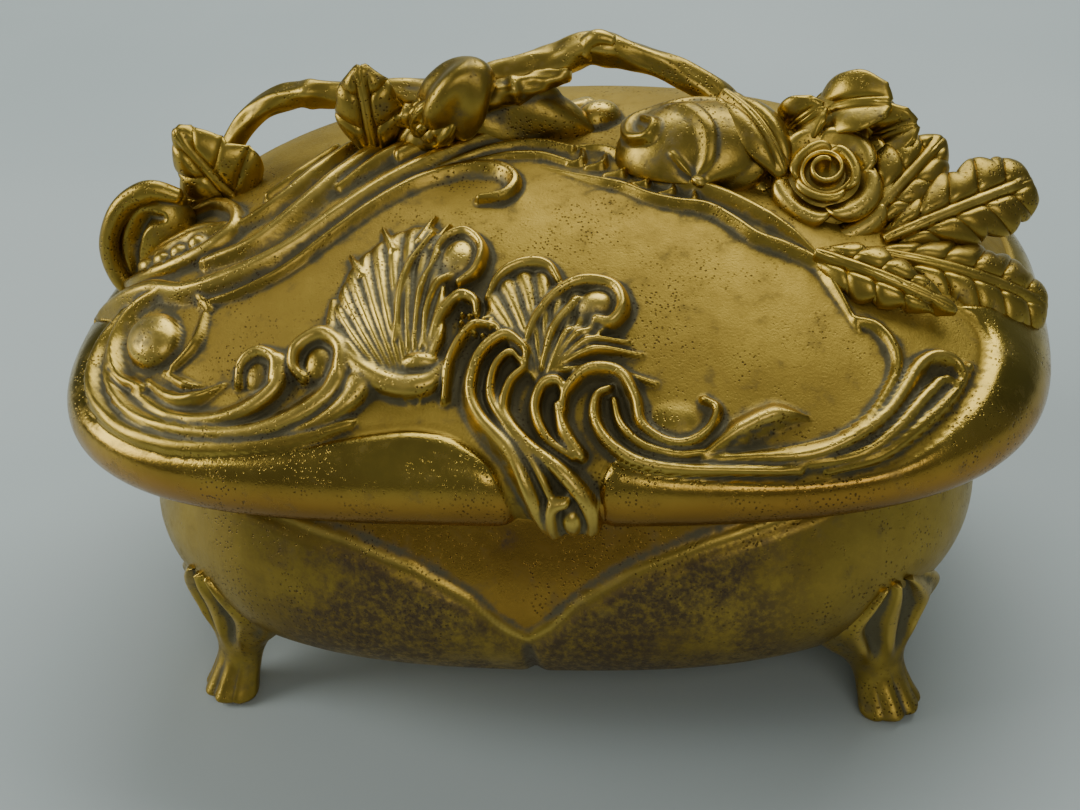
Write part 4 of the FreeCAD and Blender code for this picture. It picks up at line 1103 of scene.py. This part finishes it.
def spray_curl():
    """The leaf at the far left, rolled into a hollow curl."""
    lean = math.radians(25)
    along = unit((math.cos(lean), 0, -math.sin(lean)))
    axes = np.stack([along, [0.0, 1.0, 0.0], np.cross(along, [0.0, 1.0, 0.0])])
    bowl = egg((-68.5, 0.5, 67), (7.0, 5.2, 10.4), axes, carve=SPRAY)
    rim = tube([(-71, -5.0, 57.5), (-75.4, -3.6, 63), (-76.2, -2.4, 69), (-72.8, -1.4, 75),
                (-67.2, -1.0, 78), (-61.6, -0.8, 76.6)], [1.2, 1.7, 1.9, 2.0, 1.9, 1.2],
               wave=lambda s, turn: 1 + 0.06 * np.sin(2 * turn + 9 * s))
    add_casting("curled_leaf_cast", joined([bowl, rim]), "curled_leaf")


# Plans of a leaf: shares of its half width, evenly spaced from root to tip.
OVAL = [0.15, 0.75, 1.0, 0.95, 0.7, 0.12]
SPADE = [0.3, 0.95, 1.0, 0.8, 0.5, 0.08]
BLUNT = [0.2, 0.6, 0.9, 1.0, 0.98, 0.55]
# Leaves: node, root, tip, facing, width, plan, veins, cup, arch, notches.
LEAVES = [
    ("ivy_leaf_left", (-52.0, 5, 69.5), (-63.0, 5.4, 86.4), (-0.2, -1, 0.35), 17.0, SPADE, 4, 1.2,
     1.0, (2, 0.2)),
    ("ivy_leaf_middle", (-29, 7.4, 78.5), (-29.6, 8, 95.6), (0, -1, 0.3), 11.8, OVAL, 3, 0.9, 0.8,
     (2, 0.10)),
    ("rose_leaf_upper", (52, -9, 73.4), (64.8, 5.4, 81.0), (0.3, -0.6, 0.75), 12.5, OVAL, 4, 0.8,
     1.2, (3, 0.15)),
    ("rose_leaf_outer", (55, -11, 71.6), (78.6, 2.2, 74.8), (0.35, -0.6, 0.7), 13.5, BLUNT, 5,
     1.0, 1.4, (4, 0.22)),
    ("rose_leaf_lower", (53, -14.5, 71.5), (80.6, -11.5, 59.6), (0.4, -0.5, 0.8), 13.0, BLUNT, 6,
     1.2, 2.2, (5, 0.24)),
    ("rose_leaf_front", (44.5, -19, 74), (65.4, -24.5, 66.8), (0.2, -0.7, 0.8), 9.6, SPADE, 5, 0.9,
     1.2, (5, 0.30)),
]


def spray():
    """Every casting of the spray."""
    spray_branch()
    spray_bud()
    spray_petal()
    spray_rose()
    spray_curl()
    for node, *shape in LEAVES:
        add_casting(node + "_cast", leaf(*shape), node)


# ------------------------------------------------------------------ body

# Half of the V on the front: distance from the middle and height of its line.
V_LINE = np.array([(0, 24.5), (4, 27.5), (8.5, 32), (17, 36.8), (28, 40.6), (40, 43.6), (52, 46)])


BODY_LOW, BODY_HIGH = 13.0, 46.8  # heights between which the body has its skin
BODY_SKIN = 0.12  # how far the skin stands off the CAD body
SHELF = 45.4  # height of the fine line under the body's rim


def body_relief():
    """The outer skin of the body: two swelling lobes under a V, polished panel above it."""
    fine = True
    azimuth = outline_azimuths(70, 44, 0.5 if fine else 0.8, 1.4)
    heights = np.arange(BODY_LOW, BODY_HIGH, 0.36 if fine else 0.6)
    a, z = np.meshgrid(azimuth, heights)
    way = np.stack([np.sin(a), -np.cos(a), 0 * a], 2)
    origin = np.stack([0 * z, 0 * z + 0.5, z], 2)
    hits = cast_grid(cad_tree("body_shell"), origin, way)
    radius = fair_radius(np.linalg.norm(hits - origin, axis=2), 8)
    points = origin + way * radius[..., None]
    normals = grid_normals(points)
    x, y = points[..., 0], points[..., 1]
    across = np.abs(x)
    line = np.interp(across, V_LINE[:, 0], V_LINE[:, 1])
    front = smooth(-y, 8, 20)
    below = smooth(z, line + 0.6, line - 3.0) * smooth(across, 58, 44) * front
    fade = smooth(z, 12.8, 17)
    crease = np.exp(-((across / 1.1) ** 2)) * below
    lip = np.exp(-(((z - line) / 0.8) ** 2)) * smooth(across, 52, 38) * front
    shelf = np.exp(-(((z - SHELF) / 0.5) ** 2))
    height = (1.5 * below + 0.55 * lip - 0.8 * crease + 0.35 * shelf) * fade
    points = points + normals * (BODY_SKIN + height)[..., None]
    hem = points[0] * [0.99, 0.99, 1] + [0, 0, -0.1]
    lip_in = points[-1] * [0.985, 0.985, 1] + [0, 0, 0.05]
    grid = np.vstack([hem[None], points, lip_in[None]])
    made = new_mesh("body_relief", grid.reshape(-1, 3), grid_faces(*grid.shape[:2], True), "base",
                    "gilt_metal")
    # painted shade and stains: the lobes under the V and the lower body are darkened as if
    # reflecting the dark floor, with a few real spots
    spots = np.exp(-(((x + 3.5) / 2.6) ** 2 + ((z - 41.5) / 1.6) ** 2))
    stain = below * smooth(across, 48, 30) + 0.5 * smooth(z, 26, 14) + 1.5 * spots + 0.12
    above = np.exp(-(((z - line - 1.6) / 0.9) ** 2)) * front * smooth(across, 50, 36)
    paint_rows(made, 1, hollow=np.clip(0.7 * crease + 0.35 * above, 0, 1),
               raised=lip * 0.8 + 0.8 * shelf,
               polish=(1 - below) * 0.8 * smooth(z, line, line + 2), stain=np.clip(stain, 0, 1))
    dress(made, GILT)


# Sections of a foot: height, outward shift from its root, half width, half thickness.
FOOT = np.array([(27, 4.2, 4.5, 2.0), (24, 3.2, 8.5, 2.8), (19.5, 1.2, 12.5, 3.8),
                 (15, 0.2, 10, 4.4), (11, 0.8, 6.4, 4), (7, 1.9, 4.4, 3.4), (3.5, 3.5, 4, 3.3),
                 (1, 4.9, 4.5, 3.6), (0, 5.2, 4, 3.1)])


FOOT_TOP = FOOT[0, 0]
FOOT_SPLAY = 37.0  # degrees from straight forward or back


def foot(node, root, sign_x, sign_y):
    """A foot with ridges that run from its wings into three splayed, rounded toes."""
    rows, columns = 120, 120
    path = curve_through(FOOT[::-1], 0.2)
    z = np.linspace(0, 1, rows) ** 1.15 * FOOT_TOP
    height = np.maximum.accumulate(path[:, 0])
    out, wide, thick = (np.interp(z, height, path[:, k])[:, None] for k in (1, 2, 3))
    turn = 2 * np.pi * np.arange(columns)[None, :] / columns
    z = z[:, None]
    across = np.cos(turn)
    front = smooth(np.sin(turn), -0.2, 0.5)
    toes = smooth(z, 9, 2)
    wings = smooth(z, 9, 15)
    groove = (np.abs(np.sin(1.5 * np.pi * across)) - 0.55) * toes * 0.8
    vein = np.cos(2 * np.pi * across * (1.3 + 0.5 * wings)) * wings * 0.9
    flare = toes * 1.6 * smooth(z, 0.0, 1.6) + 0.9 * wings * np.abs(across) ** 3
    bulge = front * (groove + vein + flare * 0.8)
    px = across * (wide + toes)
    py = out + np.sin(turn) * thick + bulge * np.sin(turn).clip(0, 1)
    foot_round = np.sqrt(np.clip(1 - (1 - np.minimum(z / 1.4, 1)) ** 2, 0, 1)) * 0.14 + 0.86
    grid = np.stack([px * foot_round, out + (py - out) * foot_round, z + 0 * turn], 2)
    angle = math.radians((180 if sign_y < 0 else 0) - sign_x * sign_y * FOOT_SPLAY)
    c, s = math.cos(angle), math.sin(angle)
    world = np.stack([root[0] + grid[..., 0] * c - grid[..., 1] * s,
                      root[1] + grid[..., 0] * s + grid[..., 1] * c, grid[..., 2]], 2)
    low = world[:1].mean(1, keepdims=True) + 0 * world[:1]
    high = world[-1:].mean(1, keepdims=True) + 0 * world[-1:]
    world = np.concatenate([low, world, high])
    made = new_mesh(node + "_cast", world.reshape(-1, 3), grid_faces(rows + 2, columns, True),
                    "base", "gilt_metal")
    wear(made)
    dress(made, GILT)
    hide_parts(node)


def feet():
    """The four feet."""
    foot("foot_front_left", (-53.5, -36), -1, -1)
    foot("foot_front_right", (53.5, -36), 1, -1)
    foot("foot_rear_left", (-53.5, 33), -1, 1)
    foot("foot_rear_right", (53.5, 33), 1, 1)


# ------------------------------------------------------------------ lining


CORD_POINTS, CORD_SIDES = 1500, 10
CORD_RADIUS, CORD_STRANDS, CORD_PITCH = 0.93, 2, 5.0


def ring_line(node, count):
    """The centre line of a ring-shaped CAD node, from rays through its middle height."""
    low, high = (np.array(v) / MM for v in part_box(node))
    tree = cad_tree(node)
    level = (low[2] + high[2]) / 2
    middle = Vector((0, (low[1] + high[1]) / 2, level))
    line = []
    for k in range(count):
        a = 2 * math.pi * k / count
        way = Vector((math.sin(a), -math.cos(a), 0))
        inner = tree.ray_cast(middle, way)[0]
        outer = tree.ray_cast(middle + way * 200, -way)[0]
        line.append((inner + outer) / 2)
    return np.array([tuple(v) for v in line])


def edge_cord(node, body):
    """A two-strand twisted cord where the CAD has its plain ring."""
    cord = closed_cord(ring_line(node, CORD_POINTS), CORD_RADIUS, CORD_SIDES, CORD_STRANDS,
                       CORD_PITCH)
    made = new_mesh(node + "_twist", *cord, body, "cord")
    dress(made, CORD)
    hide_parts(node)


def padded_wall():
    """The satin strip round the wall, gathered into soft pleats."""
    low, high = (np.array(v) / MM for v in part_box("wall_lining"))
    tree = cad_tree("wall_lining")
    middle = np.array([0, (low[1] + high[1]) / 2, 0])
    levels = np.linspace(low[2] + 0.3, high[2] - 0.2, 40)
    azimuth = outline_azimuths(62, 38, 0.8, 0.8)
    inner = np.empty((len(levels), len(azimuth), 3))
    outer = np.empty_like(inner)
    for i, z in enumerate(levels):
        for j, a in enumerate(azimuth):
            start = Vector((0, middle[1], z))
            way = Vector((math.sin(a), -math.cos(a), 0))
            near = tree.ray_cast(start, way)[0]
            far = tree.ray_cast(start + way * 200, -way)[0]
            inner[i, j] = near if near else inner[max(i - 1, 0), j]
            outer[i, j] = far if far else outer[max(i - 1, 0), j]
    share = np.linspace(0, 1, len(levels))[:, None]
    turn = np.arange(len(azimuth))[None, :] / len(azimuth) * 2 * np.pi
    pleat = np.abs(np.sin(44 * turn + 0.5 * np.sin(7 * turn) + 0.4 * np.sin(5 * share))) ** 0.7
    puff = np.sin(np.pi * share) ** 0.6 * (0.85 * pleat + 0.15) - 0.25
    inward = outer - inner
    inward /= np.linalg.norm(inward, axis=2, keepdims=True)
    inner = inner - inward * puff[..., None] + inward * 0.35
    grid = np.concatenate([outer, inner[::-1]])
    made = new_mesh("wall_satin", grid.reshape(-1, 3), ring_faces(len(grid), len(azimuth)), "base",
                    "satin")
    dress(made, SATIN)
    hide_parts("wall_lining")


VOXEL = 0.0022
PUFF_PRESSURE, PUFF_FRAMES = 4, 20
# Tufting: dimples along a row, distance of a row from the middle, depth and radius, in metres.
TUFT_STEP, TUFT_ROW, TUFT_DEPTH, TUFT_RADIUS = 0.021, 0.014, 0.0019, 0.0034


def cushion(node, body, cap, shrink):
    """A satin cushion, puffed by the cloth solver from a slightly smaller copy of the CAD pad."""
    source = frame["nodes"][node]
    mesh = source.data.copy()
    made = bpy.data.objects.new(node + "_satin", mesh)
    bpy.context.scene.collection.objects.link(made)
    low, high = (np.array(v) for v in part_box(node))
    middle = (low + high) / 2
    for v in mesh.vertices:
        v.co = Vector(middle) + Vector([(c - m) * k for c, m, k in zip(v.co, middle, shrink)])
    apply_modifier(made, "REMESH", mode="VOXEL", voxel_size=VOXEL)
    start = np.array([tuple(v.co) for v in made.data.vertices])
    cloth = made.modifiers.new("puff", "CLOTH")
    cloth.settings.use_pressure = True
    cloth.settings.uniform_pressure_force = PUFF_PRESSURE
    cloth.settings.effector_weights.gravity = 0
    cloth.settings.quality = 5
    for k in range(1, PUFF_FRAMES + 1):
        bpy.context.scene.frame_set(k)
    solved = made.evaluated_get(bpy.context.evaluated_depsgraph_get()).data
    moved = np.array([tuple(v.co) for v in solved.vertices]) - start
    made.modifiers.clear()
    bpy.context.scene.frame_set(1)
    size = np.linalg.norm(moved, axis=1, keepdims=True)
    start = start + moved * np.minimum(1, cap / np.maximum(size, 1e-9))
    # soft dimples where the satin is tacked through the pad
    start = tufted(start, low, high, 1 if body == "base" else -1)
    made.data.vertices.foreach_set("co", start.ravel())
    made.data.update()
    apply_modifier(made, "SUBSURF", levels=1)
    made.data.polygons.foreach_set("use_smooth", np.ones(len(made.data.polygons), bool))
    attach(made, body)
    dress(made, SATIN)
    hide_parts(node)


def tufted(points, low, high, way):
    """Gentle dimples in two staggered rows."""
    crown = smooth((points[:, 2] - (low[2] + high[2]) / 2) * way, 0.0, 0.0015)
    depth = np.zeros(len(points))
    for i in range(-2, 3):
        for j in (-1, 1):
            x = i * TUFT_STEP + (0.0 if j > 0 else TUFT_STEP / 2)
            y = (low[1] + high[1]) / 2 + j * TUFT_ROW
            away = np.hypot(points[:, 0] - x, points[:, 1] - y)
            depth += TUFT_DEPTH * np.exp(-((away / TUFT_RADIUS) ** 2))
    points = points.copy()
    points[:, 2] -= way * depth * crown
    return points


def apply_modifier(made, kind, **settings):
    """Adds a modifier and bakes its result into the mesh."""
    modifier = made.modifiers.new(kind, kind)
    for key, value in settings.items():
        setattr(modifier, key, value)
    baked = bpy.data.meshes.new_from_object(
        made.evaluated_get(bpy.context.evaluated_depsgraph_get()))
    made.modifiers.clear()
    made.data = baked


def lining():
    """Cushions, wall satin and twisted cords."""
    cushion("floor_pad", "base", 0.0016, (0.985, 0.98, 0.93))
    cushion("lid_pad", "lid", 0.0010, (0.985, 0.98, 0.90))
    padded_wall()
    edge_cord("rim_cord", "base")
    edge_cord("lid_cord", "lid")


# ------------------------------------------------------------------ putting it together

FINISH = {"hinge_leaf": BRASS, "rivets": RIVET, "pin": STEEL, "board": CARD}

for node, cad in frame["nodes"].items():
    dress(cad, next((m for word, m in FINISH.items() if word in node), GILT))

dress(lid_relief(), GILT)
body_relief()
feet()
spray()
lining()

# ------------------------------------------------------------------ floor, light and camera


def backdrop():
    """A pale table that sweeps up behind the box."""
    steps = []
    for k in range(13):
        turn = math.radians(90 * k / 12)
        steps.append((500 + 300 * math.sin(turn), 300 - 300 * math.cos(turn)))
    profile = [(-4000, 0), *steps, (800, 3000)]
    points = [(x, y, z) for y, z in profile for x in (-5000, 5000)]
    faces = [(2 * k, 2 * k + 1, 2 * k + 3, 2 * k + 2) for k in range(len(profile) - 1)]
    mesh = bpy.data.meshes.new("table")
    mesh.from_pydata([tuple(c * MM for c in p) for p in points], [], faces)
    mesh.polygons.foreach_set("use_smooth", np.ones(len(faces), bool))
    made = bpy.data.objects.new("table", mesh)
    bpy.context.scene.collection.objects.link(made)
    material, tree = node_material("pale_table")
    n = Nodes(tree)
    tone = n.blend(n.span(n.noise(6, 3), 0.3, 0.7), (0.47, 0.525, 0.52, 1), (0.52, 0.575, 0.565, 1))
    n.finish(Base_Color=tone, Roughness=0.55, Normal=n.bump(n.noise(700, 3), 0.05, 0.0002))
    dress(made, material)


def area_light(name, place, target, size, power, colour):
    """A soft rectangular lamp aimed at a point."""
    light = bpy.data.lights.new(name, "AREA")
    light.shape = "RECTANGLE"
    light.size, light.size_y = size
    light.energy = power
    light.color = colour
    made = bpy.data.objects.new(name, light)
    made.location = place
    made.rotation_euler = (Vector(target) - Vector(place)).to_track_quat("-Z", "Y").to_euler()
    bpy.context.scene.collection.objects.link(made)


def camera():
    """The photograph's view: close, from the front right and above, a little rolled."""
    azimuth, rise, distance, roll = 11.0, 34.0, 0.300, -6.3
    target = Vector((-0.0042, 0.0, 0.033))
    a, e = math.radians(azimuth), math.radians(rise)
    back = Vector((math.sin(a) * math.cos(e), -math.cos(a) * math.cos(e), math.sin(e)))
    data = bpy.data.cameras.new("view")
    data.sensor_width = 36
    data.lens = 55.6
    data.clip_start = 0.01
    made = bpy.data.objects.new("view", data)
    made.location = target + back * distance
    turn = back.to_track_quat("Z", "Y")
    made.rotation_mode = "QUATERNION"
    spin = Vector((0, 0, 1))
    made.rotation_quaternion = turn @ Quaternion(spin, math.radians(roll))
    bpy.context.scene.collection.objects.link(made)
    bpy.context.scene.camera = made


def world():
    """A dim, even room."""
    made = bpy.data.worlds.new("room")
    made.use_nodes = True
    background = made.node_tree.nodes["Background"]
    background.inputs["Color"].default_value = (0.66, 0.74, 0.76, 1)
    background.inputs["Strength"].default_value = 0.24
    bpy.context.scene.world = made


backdrop()
area_light("window", (0.10, 0.42, 0.72), (0, 0, 0.03), (0.8, 0.5), 5.1, (0.95, 1.0, 0.99))
area_light("side", (-0.70, -0.10, 0.42), (0, 0, 0.04), (0.4, 0.5), 3.0, (0.97, 1.0, 0.98))
area_light("front", (0.30, -0.75, 0.62), (0, 0, 0.05), (0.5, 0.35), 1.3, (1.0, 0.98, 0.93))
camera()
world()
